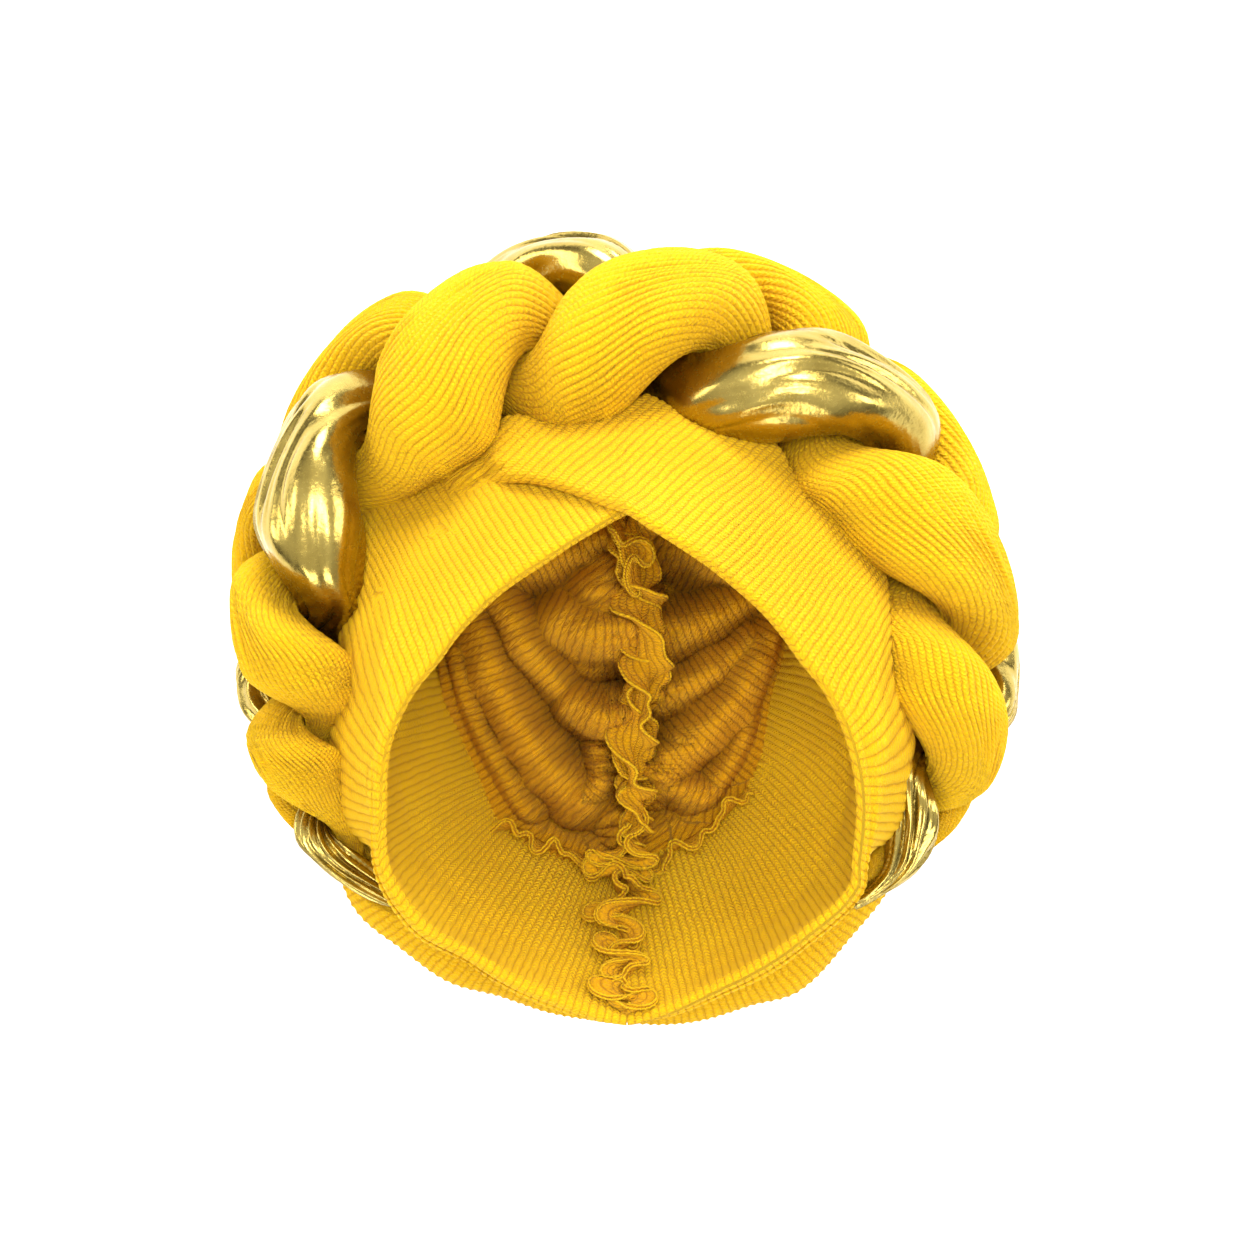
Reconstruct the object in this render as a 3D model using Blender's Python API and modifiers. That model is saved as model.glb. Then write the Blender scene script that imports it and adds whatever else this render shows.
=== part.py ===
# Turban head wrap: a gathered bag of ribbed knit with a folded, lapped brim and a thick plait
# of three padded strands round it. It lies on its crown with the head opening up.
# Built in millimetres and scaled to metres at the end. +Y is the forehead, +Z is up.
import math
import bpy
import bmesh
from mathutils import Vector
from mathutils.bvhtree import BVHTree

COLLECTION = "turban_head_wrap"
GAP = 0.3

# Plait: the ring is drawn about RING_CENTRE, the brim and the bag about BAG_CENTRE.
RING_CENTRE = (-0.5, -3.0)
BAG_CENTRE = (-1.4, -46.0)
STRAND_PLUMP = 29.0
STRAND_SWING_DEPTH = 0.57
STRAND_SWING_THICK = 0.43
STRAND_ROUNDING = 6.0
STRAND_GAP = 0.3
STRAND_SWEEP = (-2.2, -1.1, 0.0, 1.1, 2.2)
SIDES_OF_STRAND = 18
RINGS_OF_STRAND = 66
TRIM_PASSES = 3
TRIM_LEAVE = 0.25
OVAL_POWER = 2.6

BAND_THICK = 5.0
BAND_SAMPLES = 6
LAP_OFFSET = BAND_THICK + 9.0 * GAP
LAP_START = 34.0
LAP_FULL = 15.0
CROWN_THICK = 2.2
PINCH = 7.0
CROWN_SPOKES = 44
CROWN_WALL_RINGS = 8
CROWN_FLOOR_RINGS = 8


def table(columns, rows):
    """A table as one list for each named column."""
    names = columns.split()
    return {name: [row[i] for row in rows] for i, name in enumerate(names)}


# One row for each station round the plait. Clock angles run clockwise from the forehead.
PLAIT = table(
    "clock radius height half_depth half_thick lean",
    [
        (-141.0, 115.5, 44.5, 5.0, 4.5, 0.0),
        (-134.5, 116.5, 45.5, 9.0, 6.5, 0.0),
        (-126.0, 116.0, 47.0, 15.0, 9.5, 1.0),
        (-112.0, 113.0, 47.0, 29.0, 14.5, 3.0),
        (-98.0, 109.0, 44.0, 40.0, 18.5, 4.0),
        (-73.0, 110.0, 44.0, 47.5, 21.0, 8.0),
        (-38.0, 105.0, 44.0, 49.0, 26.5, 15.0),
        (-6.0, 99.5, 44.0, 49.0, 27.0, 16.0),
        (30.0, 99.0, 44.0, 49.0, 25.0, 16.0),
        (68.0, 101.5, 43.4, 48.0, 22.0, 10.0),
        (102.0, 105.5, 42.0, 44.0, 22.0, 5.0),
        (116.0, 107.0, 43.0, 31.0, 18.0, 3.0),
        (126.0, 110.5, 45.5, 16.0, 10.5, 2.0),
        (134.0, 112.5, 45.5, 9.0, 7.0, 0.0),
        (141.0, 112.0, 44.5, 5.0, 4.5, 0.0),
    ],
)

# Where each strand in turn crosses the near edge of the plait, 120 degrees of phase apart.
VISITS = table(
    "clock phase",
    [
        (-141.0, -35.0),
        (-134.5, 0.0),
        (-114.0, 120.0),
        (-97.0, 240.0),
        (-73.0, 360.0),
        (-38.0, 480.0),
        (-6.0, 600.0),
        (30.5, 720.0),
        (68.0, 840.0),
        (102.0, 960.0),
        (125.0, 1080.0),
        (141.0, 1160.0),
    ],
)

# Phase lead and share of the width of each strand.
STRANDS = table(
    "name lead share",
    [
        ("strand_gold", 90.0, 0.86),
        ("strand_yellow_a", -30.0, 1.0),
        ("strand_yellow_b", -150.0, 1.0),
    ],
)

# Brim edge of each band from the forehead point to the nape point.
BRIM_LEFT = table(
    "clock radius height",
    [
        (-180.0, 79.8, 52.0),
        (-157.7, 75.9, 59.0),
        (-142.1, 75.8, 65.0),
        (-127.2, 80.8, 72.0),
        (-116.3, 81.5, 77.0),
        (-100.0, 76.7, 87.0),
        (-84.5, 73.9, 95.0),
        (-70.9, 70.3, 100.0),
        (-57.6, 66.7, 104.0),
        (-45.2, 66.6, 106.0),
        (-25.6, 67.8, 109.0),
        (-9.7, 72.9, 111.0),
        (0.0, 78.7, 112.0),
    ],
)
BRIM_RIGHT = table(
    "clock radius height",
    [
        (0.0, 78.7, 112.0),
        (5.5, 74.3, 112.0),
        (19.3, 68.0, 111.0),
        (35.4, 64.4, 109.0),
        (56.1, 63.0, 105.0),
        (68.6, 65.6, 102.0),
        (80.3, 68.4, 98.0),
        (97.9, 72.7, 89.0),
        (112.7, 76.9, 80.0),
        (117.6, 79.5, 77.0),
        (134.9, 75.8, 69.0),
        (154.9, 74.6, 60.0),
        (180.0, 79.8, 52.0),
    ],
)

# Radius of the free edge where a band runs across the other one at the forehead.
LAP_EDGE_RIGHT = table(
    "clock radius",
    [(-32.0, 101.0), (-26.9, 98.5), (-20.5, 95.5), (-13.5, 89.1), (-5.8, 82.2), (0.0, 78.7)],
)
LAP_EDGE_LEFT = table(
    "clock radius",
    [(0.0, 78.7), (6.9, 85.7), (14.0, 94.0)],
)

# One row for each station round the bag: shoulder and foot of the bands, then the bulge and
# the bottom corner of the bag, and the radius of its flat floor.
BODY = table(
    "clock shoulder_r shoulder_z foot_r foot_z wall_r wall_z corner_r flat_r",
    [
        (-180.0, 74.0, 44.0, 66.0, 37.0, 85.3, 18.0, 74.0, 66.0),
        (-167.0, 74.5, 46.0, 67.0, 38.0, 86.0, 18.0, 75.0, 66.0),
        (-151.6, 75.5, 51.0, 70.0, 41.0, 88.5, 18.0, 76.0, 66.0),
        (-142.0, 76.5, 54.0, 71.0, 42.0, 92.0, 18.0, 78.0, 68.0),
        (-129.0, 80.5, 60.0, 73.0, 44.0, 96.6, 18.0, 82.0, 70.0),
        (-115.6, 82.5, 66.0, 74.0, 45.0, 102.5, 18.0, 86.0, 72.0),
        (-103.0, 83.0, 72.0, 75.5, 46.0, 100.5, 16.0, 84.0, 70.0),
        (-90.0, 86.0, 75.0, 77.0, 46.0, 82.0, 24.0, 76.0, 68.0),
        (-71.0, 88.0, 80.0, 86.0, 48.0, 87.0, 28.0, 80.0, 70.0),
        (-58.0, 98.0, 82.0, 97.0, 49.0, 97.0, 28.0, 89.0, 78.0),
        (-45.0, 101.5, 84.0, 101.0, 50.0, 104.0, 28.0, 96.0, 86.0),
        (-30.0, 99.5, 86.0, 99.0, 50.0, 108.0, 28.0, 100.0, 90.0),
        (-15.0, 100.2, 88.0, 99.2, 51.0, 110.0, 28.0, 102.0, 92.0),
        (0.0, 102.2, 89.0, 100.7, 52.0, 112.0, 28.0, 104.0, 94.0),
        (15.0, 100.2, 89.0, 99.2, 52.0, 110.0, 28.0, 102.0, 92.0),
        (30.0, 99.0, 88.0, 97.0, 52.0, 108.0, 28.0, 99.0, 88.0),
        (45.0, 96.5, 86.0, 94.5, 50.0, 101.0, 28.0, 93.0, 82.0),
        (60.0, 87.0, 83.0, 84.5, 48.0, 91.0, 28.0, 84.0, 74.0),
        (75.0, 79.0, 80.0, 76.5, 47.0, 80.5, 28.0, 76.0, 68.0),
        (90.0, 77.5, 76.0, 74.5, 46.0, 79.0, 26.0, 74.0, 66.0),
        (105.0, 79.0, 70.0, 74.5, 45.0, 82.0, 21.0, 75.0, 66.0),
        (117.0, 81.0, 64.0, 73.0, 44.0, 95.0, 18.0, 80.0, 68.0),
        (129.0, 78.0, 59.0, 72.0, 43.0, 94.5, 18.0, 80.0, 68.0),
        (142.7, 76.0, 53.0, 70.5, 41.0, 94.0, 18.0, 79.0, 68.0),
        (153.0, 75.0, 50.0, 69.5, 40.0, 90.2, 18.0, 77.0, 66.0),
        (164.0, 74.5, 47.0, 68.0, 39.0, 88.6, 18.0, 76.0, 66.0),
        (180.0, 74.0, 44.0, 66.0, 37.0, 85.3, 18.0, 74.0, 66.0),
    ],
)

# Folds of the crumpled floor: a bent ridge from start through middle to end.
FOLDS = table(
    "start middle end height half_width",
    [
        ((-41.0, 12.0), (-29.0, -26.0), (-14.0, -60.0), 33.0, 13.0),
        ((-24.0, 10.0), (-15.0, -8.0), (6.0, -14.0), 34.0, 11.0),
        ((-28.0, -14.0), (-10.0, -32.0), (-4.0, -44.0), 22.0, 9.0),
        ((12.0, -49.0), (33.0, -34.0), (46.0, -8.0), 28.0, 12.0),
        ((12.0, -52.0), (22.0, -60.0), (34.0, -60.0), 14.0, 9.0),
        ((24.0, 24.0), (36.0, 14.0), (52.0, 12.0), 16.0, 11.0),
    ],
)
GATHERS = 15
GATHER_HEIGHT = 2.2
GATHER_RADIUS = 36.0
GATHER_REACH = 16.0

# Side step of the centre seam at each depth from the forehead to the nape.
SEAM_PATH = table(
    "y x",
    [
        (-104.0, -5.0),
        (-91.0, 3.0),
        (-84.0, -4.0),
        (-68.0, 3.0),
        (-58.0, -2.0),
        (-42.0, 4.5),
        (-22.0, -1.0),
        (-8.0, 6.0),
        (10.0, 3.0),
        (30.0, -9.0),
        (50.0, -4.0),
    ],
)
SEAM_HEIGHT = 11.0
SEAM_THICK = 2.6
SEAM_STATIONS = 66
SEAM_WAVES = 11
CROSS_HEIGHT = 8.0
CROSS_STATIONS = 18
CROSS_SEAMS = table(
    "name start end waves",
    [
        ("cross_seam_left", (-12.0, -72.0), (-46.0, -66.0), 4),
        ("cross_seam_right", (11.0, -67.0), (40.0, -54.0), 4),
    ],
)


def curve_at(xs, ys, x):
    """Value at x of the smooth curve through the rows, with no overshoot."""
    if x <= xs[0]:
        return ys[0]
    if x >= xs[-1]:
        return ys[-1]
    last = len(xs) - 1
    i = max(k for k in range(last) if xs[k] <= x)
    steps = [xs[k + 1] - xs[k] for k in range(last)]
    slopes = [(ys[k + 1] - ys[k]) / steps[k] for k in range(last)]

    def tangent(k):
        if k == 0:
            return slopes[0]
        if k == last:
            return slopes[-1]
        before = slopes[k - 1]
        after = slopes[k]
        if before * after <= 0.0:
            return 0.0
        return 3.0 * (steps[k - 1] + steps[k]) / (
            (2.0 * steps[k] + steps[k - 1]) / before + (steps[k] + 2.0 * steps[k - 1]) / after
        )

    h = steps[i]
    s = (x - xs[i]) / h
    a = (1.0 + 2.0 * s) * (1.0 - s) ** 2
    b = s * (1.0 - s) ** 2 * h
    c = s * s * (3.0 - 2.0 * s)
    d = s * s * (s - 1.0) * h
    return a * ys[i] + b * tangent(i) + c * ys[i + 1] + d * tangent(i + 1)


def at(rows, name, clock):
    """Column of a table at a clock angle."""
    return curve_at(rows["clock"], rows[name], clock)


def ease(x):
    """Smooth step from 0 to 1."""
    x = min(1.0, max(0.0, x))
    return x * x * (3.0 - 2.0 * x)


def place(centre, clock, radius, height):
    """Point at a clock angle and radius about a centre."""
    angle = math.radians(clock)
    return Vector(
        (centre[0] + radius * math.sin(angle), centre[1] + radius * math.cos(angle), height)
    )


def oval_reach(start, heading, half_t, half_w):
    """Distance from a point inside the plait's oval section to its edge."""
    near = 0.0
    far = 2.5 * (half_t + half_w)
    for _ in range(30):
        middle = 0.5 * (near + far)
        t = abs(start[0] + middle * heading[0]) / half_t
        w = abs(start[1] + middle * heading[1]) / half_w
        if t ** OVAL_POWER + w ** OVAL_POWER < 1.0:
            near = middle
        else:
            far = middle
    return near


def strand_centres(clock):
    """Centre of each strand in the plait's section: across its thickness and its depth."""
    phase = curve_at(VISITS["clock"], VISITS["phase"], clock)
    centres = []
    for lead in STRANDS["lead"]:
        theta = math.radians(phase + lead)
        t = -STRAND_SWING_THICK * at(PLAIT, "half_thick", clock) * math.sin(2.0 * theta)
        w = STRAND_SWING_DEPTH * at(PLAIT, "half_depth", clock) * math.sin(theta)
        centres.append((t, w))
    return centres


def strand_reaches(index, clock):
    """Reach of one strand's section in each heading, pressed flat against the two others."""
    half_t = at(PLAIT, "half_thick", clock)
    half_w = at(PLAIT, "half_depth", clock)
    own = strand_centres(clock)[index]
    nearby = [strand_centres(clock + sweep) for sweep in STRAND_SWEEP]
    share = STRANDS["share"]
    plump = STRAND_PLUMP * share[index] * min(1.0, half_t / 20.0)
    found = []
    for side in range(SIDES_OF_STRAND):
        psi = 2.0 * math.pi * side / SIDES_OF_STRAND
        heading = (math.cos(psi), math.sin(psi))
        reaches = [plump, oval_reach(own, heading, half_t, half_w)]
        for other in range(3):
            if other == index:
                continue
            part = share[index] / (share[index] + share[other])
            limits = []
            for centres in nearby:
                here = centres[index]
                step = (centres[other][0] - here[0], centres[other][1] - here[1])
                length = math.hypot(step[0], step[1])
                facing = (heading[0] * step[0] + heading[1] * step[1]) / length
                lead = ((here[0] - own[0]) * step[0] + (here[1] - own[1]) * step[1]) / length
                if facing > 0.02:
                    limits.append((part * length + lead - STRAND_GAP) / facing)
            if limits:
                reaches.append(max(0.8, min(limits)))
        found.append(sum(r ** -STRAND_ROUNDING for r in reaches) ** (-1.0 / STRAND_ROUNDING))
    return found


def trim_peaks(grid):
    """Reaches with every peak lowered towards its neighbours, so that a strand stays plump."""
    last = len(grid) - 1
    for _ in range(TRIM_PASSES):
        trimmed = []
        for i, row in enumerate(grid):
            before = grid[max(0, i - 1)]
            after = grid[min(last, i + 1)]
            around = [
                0.25 * (before[k] + after[k] + row[k - 1] + row[(k + 1) % len(row)])
                for k in range(len(row))
            ]
            trimmed.append([min(row[k], around[k] + TRIM_LEAVE) for k in range(len(row))])
        grid = trimmed
    return grid


def strand_section(index, clock, reaches):
    """Points of one strand's section at a clock angle."""
    lean = math.radians(at(PLAIT, "lean", clock))
    radius = at(PLAIT, "radius", clock)
    height = at(PLAIT, "height", clock)
    own = strand_centres(clock)[index]
    points = []
    for side, reach in enumerate(reaches):
        psi = 2.0 * math.pi * side / SIDES_OF_STRAND
        t = own[0] + reach * math.cos(psi)
        w = own[1] + reach * math.sin(psi)
        out = radius + t * math.cos(lean) - w * math.sin(lean)
        up = height + w * math.cos(lean) + t * math.sin(lean)
        points.append(place(RING_CENTRE, clock, out, max(0.0, up)))
    return points


def loft(name, sections):
    """Closed body through a row of sections with the same number of points."""
    mesh = bmesh.new()
    rings = [[mesh.verts.new(point) for point in section] for section in sections]
    count = len(rings[0])
    for near, far in zip(rings, rings[1:]):
        middle = sum((vert.co for vert in near + far), Vector()) / (2 * count)
        for k in range(count):
            n = (k + 1) % count
            a, b, c, d = near[k], near[n], far[n], far[k]
            out = 0.25 * (a.co + b.co + c.co + d.co) - middle
            if (a.co + c.co - b.co - d.co).dot(out) < 0.0:
                mesh.faces.new((a, b, c))
                mesh.faces.new((a, c, d))
            else:
                mesh.faces.new((a, b, d))
                mesh.faces.new((b, c, d))
    mesh.faces.new(rings[0])
    mesh.faces.new(rings[-1])
    bmesh.ops.recalc_face_normals(mesh, faces=mesh.faces)
    bmesh.ops.triangulate(mesh, faces=mesh.faces)
    return finish(name, mesh)


def finish(name, mesh):
    """Object from a mesh, linked to the collection of the head wrap."""
    data = bpy.data.meshes.new(name)
    mesh.to_mesh(data)
    mesh.free()
    for polygon in data.polygons:
        polygon.use_smooth = False
    body = bpy.data.objects.new(name, data)
    bpy.data.collections[COLLECTION].objects.link(body)
    return body


def make_strand(index):
    """One padded strand of the plait from its tucked left end to its tucked right end."""
    first = PLAIT["clock"][0]
    last = PLAIT["clock"][-1]
    step = (last - first) / (RINGS_OF_STRAND - 1)
    clocks = [first + step * ring for ring in range(RINGS_OF_STRAND)]
    grid = trim_peaks([strand_reaches(index, clock) for clock in clocks])
    sections = [strand_section(index, clock, row) for clock, row in zip(clocks, grid)]
    return loft(STRANDS["name"][index], sections)


def brim_row(clock):
    """Radius and height of the brim edge's middle line."""
    rows = BRIM_LEFT if clock < 0.0 else BRIM_RIGHT
    return at(rows, "radius", clock) + 0.45 * BAND_THICK, at(rows, "height", clock) - 2.4


def band_profile(clock):
    """Middle line of the folded band in its radial plane, from the brim to the foot."""
    brim_r, brim_z = brim_row(clock)
    knots = [
        (brim_r, brim_z),
        (at(BODY, "shoulder_r", clock), at(BODY, "shoulder_z", clock)),
        (at(BODY, "foot_r", clock), at(BODY, "foot_z", clock)),
    ]
    return knots


def walk(knots):
    """Smooth line through knots as a function of the share of its length."""
    lengths = [0.0]
    for a, b in zip(knots, knots[1:]):
        lengths.append(lengths[-1] + math.hypot(b[0] - a[0], b[1] - a[1]))
    shares = [length / lengths[-1] for length in lengths]
    radii = [knot[0] for knot in knots]
    heights = [knot[1] for knot in knots]

    def point(share):
        return curve_at(shares, radii, share), curve_at(shares, heights, share)

    return point, lengths[-1]


def outward(point, share):
    """Unit normal of a profile line on the side away from the head."""
    before = point(max(0.0, share - 0.02))
    after = point(min(1.0, share + 0.02))
    dr = after[0] - before[0]
    dz = after[1] - before[1]
    length = math.hypot(dr, dz)
    return -dz / length, dr / length


def lap_share(point, clock, edge):
    """Share of the profile at which a lapped band has its free edge."""
    wanted = at(edge, "radius", clock)
    for step in range(200):
        share = step / 200.0
        if point(share)[0] >= wanted:
            return share
    return 0.5


def band_section(clock, top, offset, thick):
    """Closed section of a doubled band between its free edge and its foot."""
    point, _ = walk(band_profile(clock))
    outer = []
    inner = []
    for step in range(BAND_SAMPLES):
        share = top + (1.0 - top) * step / (BAND_SAMPLES - 1)
        r, z = point(share)
        nr, nz = outward(point, share)
        outer.append((r + nr * (offset + 0.5 * thick), z + nz * (offset + 0.5 * thick)))
        inner.append((r + nr * (offset - 0.5 * thick), z + nz * (offset - 0.5 * thick)))
    nr, nz = outward(point, top)
    r, z = point(top)
    ahead = (nz, -nr)
    cap = []
    for turn in (0.35, 0.65):
        swing = math.pi * (0.5 - turn)
        side = offset + 0.5 * thick * math.sin(swing)
        front = 0.5 * thick * math.cos(swing)
        cap.append((r + nr * side - ahead[0] * front, z + nz * side - ahead[1] * front))
    ring = outer[::-1] + cap + inner
    return [place(BAG_CENTRE, clock, r, z) for r, z in ring]


def make_band_left():
    """Under band: from the nape seam round the left side and under the right band."""
    sections = []
    start = -180.0 + 0.11
    clocks = [start + (0.0 - start) * k / 30.0 for k in range(31)] + [4.5, 9.0, 13.5]
    for clock in clocks:
        top = 0.0
        if clock > 0.0:
            point, _ = walk(band_profile(clock))
            top = lap_share(point, clock, LAP_EDGE_LEFT)
        sections.append(band_section(clock, top, 0.0, BAND_THICK))
    return loft("band_left", sections)


def make_band_right():
    """Over band: from the nape seam round the right side and across the forehead."""
    sections = []
    end = 180.0 - 0.11
    clocks = [-32.0, -27.0, -21.0, -15.0, -10.0, -5.0]
    clocks += [end * k / 30.0 for k in range(31)]
    for clock in clocks:
        top = 0.0
        if clock < 0.0:
            point, _ = walk(band_profile(clock))
            top = lap_share(point, clock, LAP_EDGE_RIGHT)
        offset = LAP_OFFSET * ease((LAP_START - clock) / (LAP_START - LAP_FULL))
        sections.append(band_section(clock, top, offset, BAND_THICK))
    return loft("band_right", sections)


def crown_knots(clock):
    """Middle line of the bag's wall from the bands' foot to the edge of the flat floor."""
    point, length = walk(band_profile(clock))
    foot = point(1.0)
    before = point(0.97)
    run = math.hypot(foot[0] - before[0], foot[1] - before[1])
    along = ((foot[0] - before[0]) / run, (foot[1] - before[1]) / run)
    corner = at(BODY, "corner_r", clock)
    return [
        (foot[0] + along[0] * 2.0 * GAP, foot[1] + along[1] * 2.0 * GAP),
        (foot[0] + along[0] * PINCH, foot[1] + along[1] * PINCH),
        (at(BODY, "wall_r", clock), at(BODY, "wall_z", clock)),
        (corner, 5.0),
        (at(BODY, "flat_r", clock), 0.5 * CROWN_THICK),
    ]


def fold_height(x, y):
    """Height of the crumpled floor over the flat one."""
    total = 0.0
    for i in range(len(FOLDS["height"])):
        best = None
        for step in range(17):
            s = step / 16.0
            a = (1.0 - s) ** 2
            b = 2.0 * s * (1.0 - s)
            c = s * s
            px = a * FOLDS["start"][i][0] + b * FOLDS["middle"][i][0] + c * FOLDS["end"][i][0]
            py = a * FOLDS["start"][i][1] + b * FOLDS["middle"][i][1] + c * FOLDS["end"][i][1]
            away = math.hypot(x - px, y - py)
            if best is None or away < best:
                best = away
        fold = FOLDS["height"][i] * math.exp(-((best / FOLDS["half_width"][i]) ** 2))
        total = math.sqrt(total * total + fold * fold)
    away = math.hypot(x - BAG_CENTRE[0], y - BAG_CENTRE[1])
    turn = math.atan2(x - BAG_CENTRE[0], y - BAG_CENTRE[1])
    swell = math.exp(-(((away - GATHER_RADIUS) / GATHER_REACH) ** 2))
    total += GATHER_HEIGHT * swell * (1.0 + math.cos(GATHERS * turn)) * 0.5
    return total if total > 0.4 else 0.0


def make_crown():
    """Gathered bag: a middle surface given its cloth thickness by a solidify modifier."""
    mesh = bmesh.new()
    rings = []
    clocks = [-180.0 + 360.0 * k / CROWN_SPOKES for k in range(CROWN_SPOKES)]
    for step in range(CROWN_WALL_RINGS + 1):
        share = step / CROWN_WALL_RINGS
        ring = []
        for clock in clocks:
            point, _ = walk(crown_knots(clock))
            r, z = point(share)
            ring.append(mesh.verts.new(place(BAG_CENTRE, clock, r, z)))
        rings.append(ring)
    for step in range(1, CROWN_FLOOR_RINGS):
        share = 1.0 - step / CROWN_FLOOR_RINGS
        ring = []
        for clock in clocks:
            spot = place(BAG_CENTRE, clock, share * at(BODY, "flat_r", clock), 0.0)
            rise = fold_height(spot.x, spot.y) * ease(step / 2.0)
            spot.z = 0.5 * CROWN_THICK + rise
            ring.append(mesh.verts.new(spot))
        rings.append(ring)
    middle = fold_height(BAG_CENTRE[0], BAG_CENTRE[1]) + 0.5 * CROWN_THICK
    pole = mesh.verts.new((BAG_CENTRE[0], BAG_CENTRE[1], middle))
    for near, far in zip(rings, rings[1:]):
        for k in range(CROWN_SPOKES):
            n = (k + 1) % CROWN_SPOKES
            mesh.faces.new((near[k], near[n], far[n], far[k]))
    for k in range(CROWN_SPOKES):
        mesh.faces.new((rings[-1][k], rings[-1][(k + 1) % CROWN_SPOKES], pole))
    bmesh.ops.recalc_face_normals(mesh, faces=mesh.faces)
    sheet = finish("crown_sheet", mesh)
    thicken = sheet.modifiers.new("cloth", "SOLIDIFY")
    thicken.thickness = CROWN_THICK
    thicken.offset = 0.0
    solid = bmesh.new()
    solid.from_object(sheet, bpy.context.evaluated_depsgraph_get())
    bpy.data.objects.remove(sheet)
    for vert in solid.verts:
        if vert.co.z < 0.35:
            vert.co.z = 0.0
    bmesh.ops.recalc_face_normals(solid, faces=solid.faces)
    bmesh.ops.triangulate(solid, faces=solid.faces)
    return finish("crown", solid)


def top_of(tree, x, y):
    """Height of the crown's inner face over a point."""
    hit = tree.ray_cast(Vector((x, y, 200.0)), Vector((0.0, 0.0, -1.0)))
    return hit[0].z if hit[0] else 0.0


def standing_strip(name, stations, thick):
    """Wavy strip from stations of foot point, top point and side vector."""
    sections = []
    for foot, top, side in stations:
        half = side * (0.5 * thick)
        sections.append([foot - half, foot + half, top + half, top - half])
    return loft(name, sections)


def floor_station(tree, spot, side, height, wave, thick):
    """Foot, top and side vector of a strip standing on the crumpled floor."""
    reach = 0.5 * thick + 0.8
    ahead = Vector((-side.y, side.x, 0.0))
    levels = []
    for across in (-reach, 0.0, reach):
        for along in (-1.6, 0.0, 1.6):
            probe = spot + side * across + ahead * along
            levels.append(top_of(tree, probe.x, probe.y))
    foot = Vector((spot.x, spot.y, max(levels) + GAP))
    top = foot + Vector((0.0, 0.0, height)) + side * wave
    return foot, top, side


def make_seam_frill(tree):
    """Gathered seam allowance: over the floor, then up the wall to the nape point."""
    stations = []
    front = SEAM_PATH["y"][-1]
    rear = SEAM_PATH["y"][0]
    for step in range(SEAM_STATIONS):
        share = step / (SEAM_STATIONS - 1)
        y = front + (rear - front) * share
        x = curve_at(SEAM_PATH["y"], SEAM_PATH["x"], y)
        ruffle = math.sin(2.0 * math.pi * SEAM_WAVES * share)
        bend = math.cos(2.0 * math.pi * SEAM_WAVES * share)
        side = Vector((1.0, 0.28 * bend, 0.0)).normalized()
        spot = Vector((x + 1.2 * ruffle, y, 0.0))
        height = SEAM_HEIGHT + 1.4 * math.sin(5.0 * math.pi * share)
        wave = 3.2 * ruffle
        stations.append(floor_station(tree, spot, side, height, wave, SEAM_THICK))
    return standing_strip("centre_seam_frill", stations, SEAM_THICK)


def make_cross_seam(tree, index):
    """Short wavy overlocked edge across the crown's floor."""
    start = Vector((*CROSS_SEAMS["start"][index], 0.0))
    end = Vector((*CROSS_SEAMS["end"][index], 0.0))
    run = (end - start).normalized()
    across = Vector((-run.y, run.x, 0.0))
    stations = []
    for step in range(CROSS_STATIONS):
        share = step / (CROSS_STATIONS - 1)
        ruffle = math.sin(2.0 * math.pi * CROSS_SEAMS["waves"][index] * share)
        spot = start.lerp(end, share) + across * (1.5 * ruffle)
        stations.append(
            floor_station(tree, spot, across, CROSS_HEIGHT, 2.0 * ruffle, SEAM_THICK)
        )
    return standing_strip(CROSS_SEAMS["name"][index], stations, SEAM_THICK)


def make_material(name, colour, metallic, roughness):
    """Plain Principled material for one sub-part."""
    material = bpy.data.materials.new(name)
    material.use_nodes = True
    shader = material.node_tree.nodes["Principled BSDF"]
    shader.inputs["Base Color"].default_value = (*colour, 1.0)
    shader.inputs["Metallic"].default_value = metallic
    shader.inputs["Roughness"].default_value = roughness
    return material


def crown_tree(crown):
    """Search tree of the crown's faces."""
    points = [vert.co.copy() for vert in crown.data.vertices]
    faces = [tuple(polygon.vertices) for polygon in crown.data.polygons]
    return BVHTree.FromPolygons(points, faces)


for old in list(bpy.data.objects):
    bpy.data.objects.remove(old)
collection = bpy.data.collections.new(COLLECTION)
bpy.context.scene.collection.children.link(collection)

crown_body = make_crown()
tree_of_crown = crown_tree(crown_body)
bodies = [crown_body, make_band_left(), make_band_right()]
bodies += [make_strand(index) for index in range(3)]
bodies.append(make_seam_frill(tree_of_crown))
bodies += [make_cross_seam(tree_of_crown, index) for index in range(2)]

lows = [min(vert.co[k] for body in bodies for vert in body.data.vertices) for k in range(2)]
highs = [max(vert.co[k] for body in bodies for vert in body.data.vertices) for k in range(2)]
shift = Vector((-0.5 * (lows[0] + highs[0]), -0.5 * (lows[1] + highs[1]), 0.0))
for body in bodies:
    for vert in body.data.vertices:
        vert.co = (vert.co + shift) * 0.001
    if body.name == "strand_gold":
        body.data.materials.append(make_material(body.name, (0.74, 0.47, 0.14), 0.9, 0.3))
    else:
        body.data.materials.append(make_material(body.name, (0.93, 0.58, 0.03), 0.0, 0.8))
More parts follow.
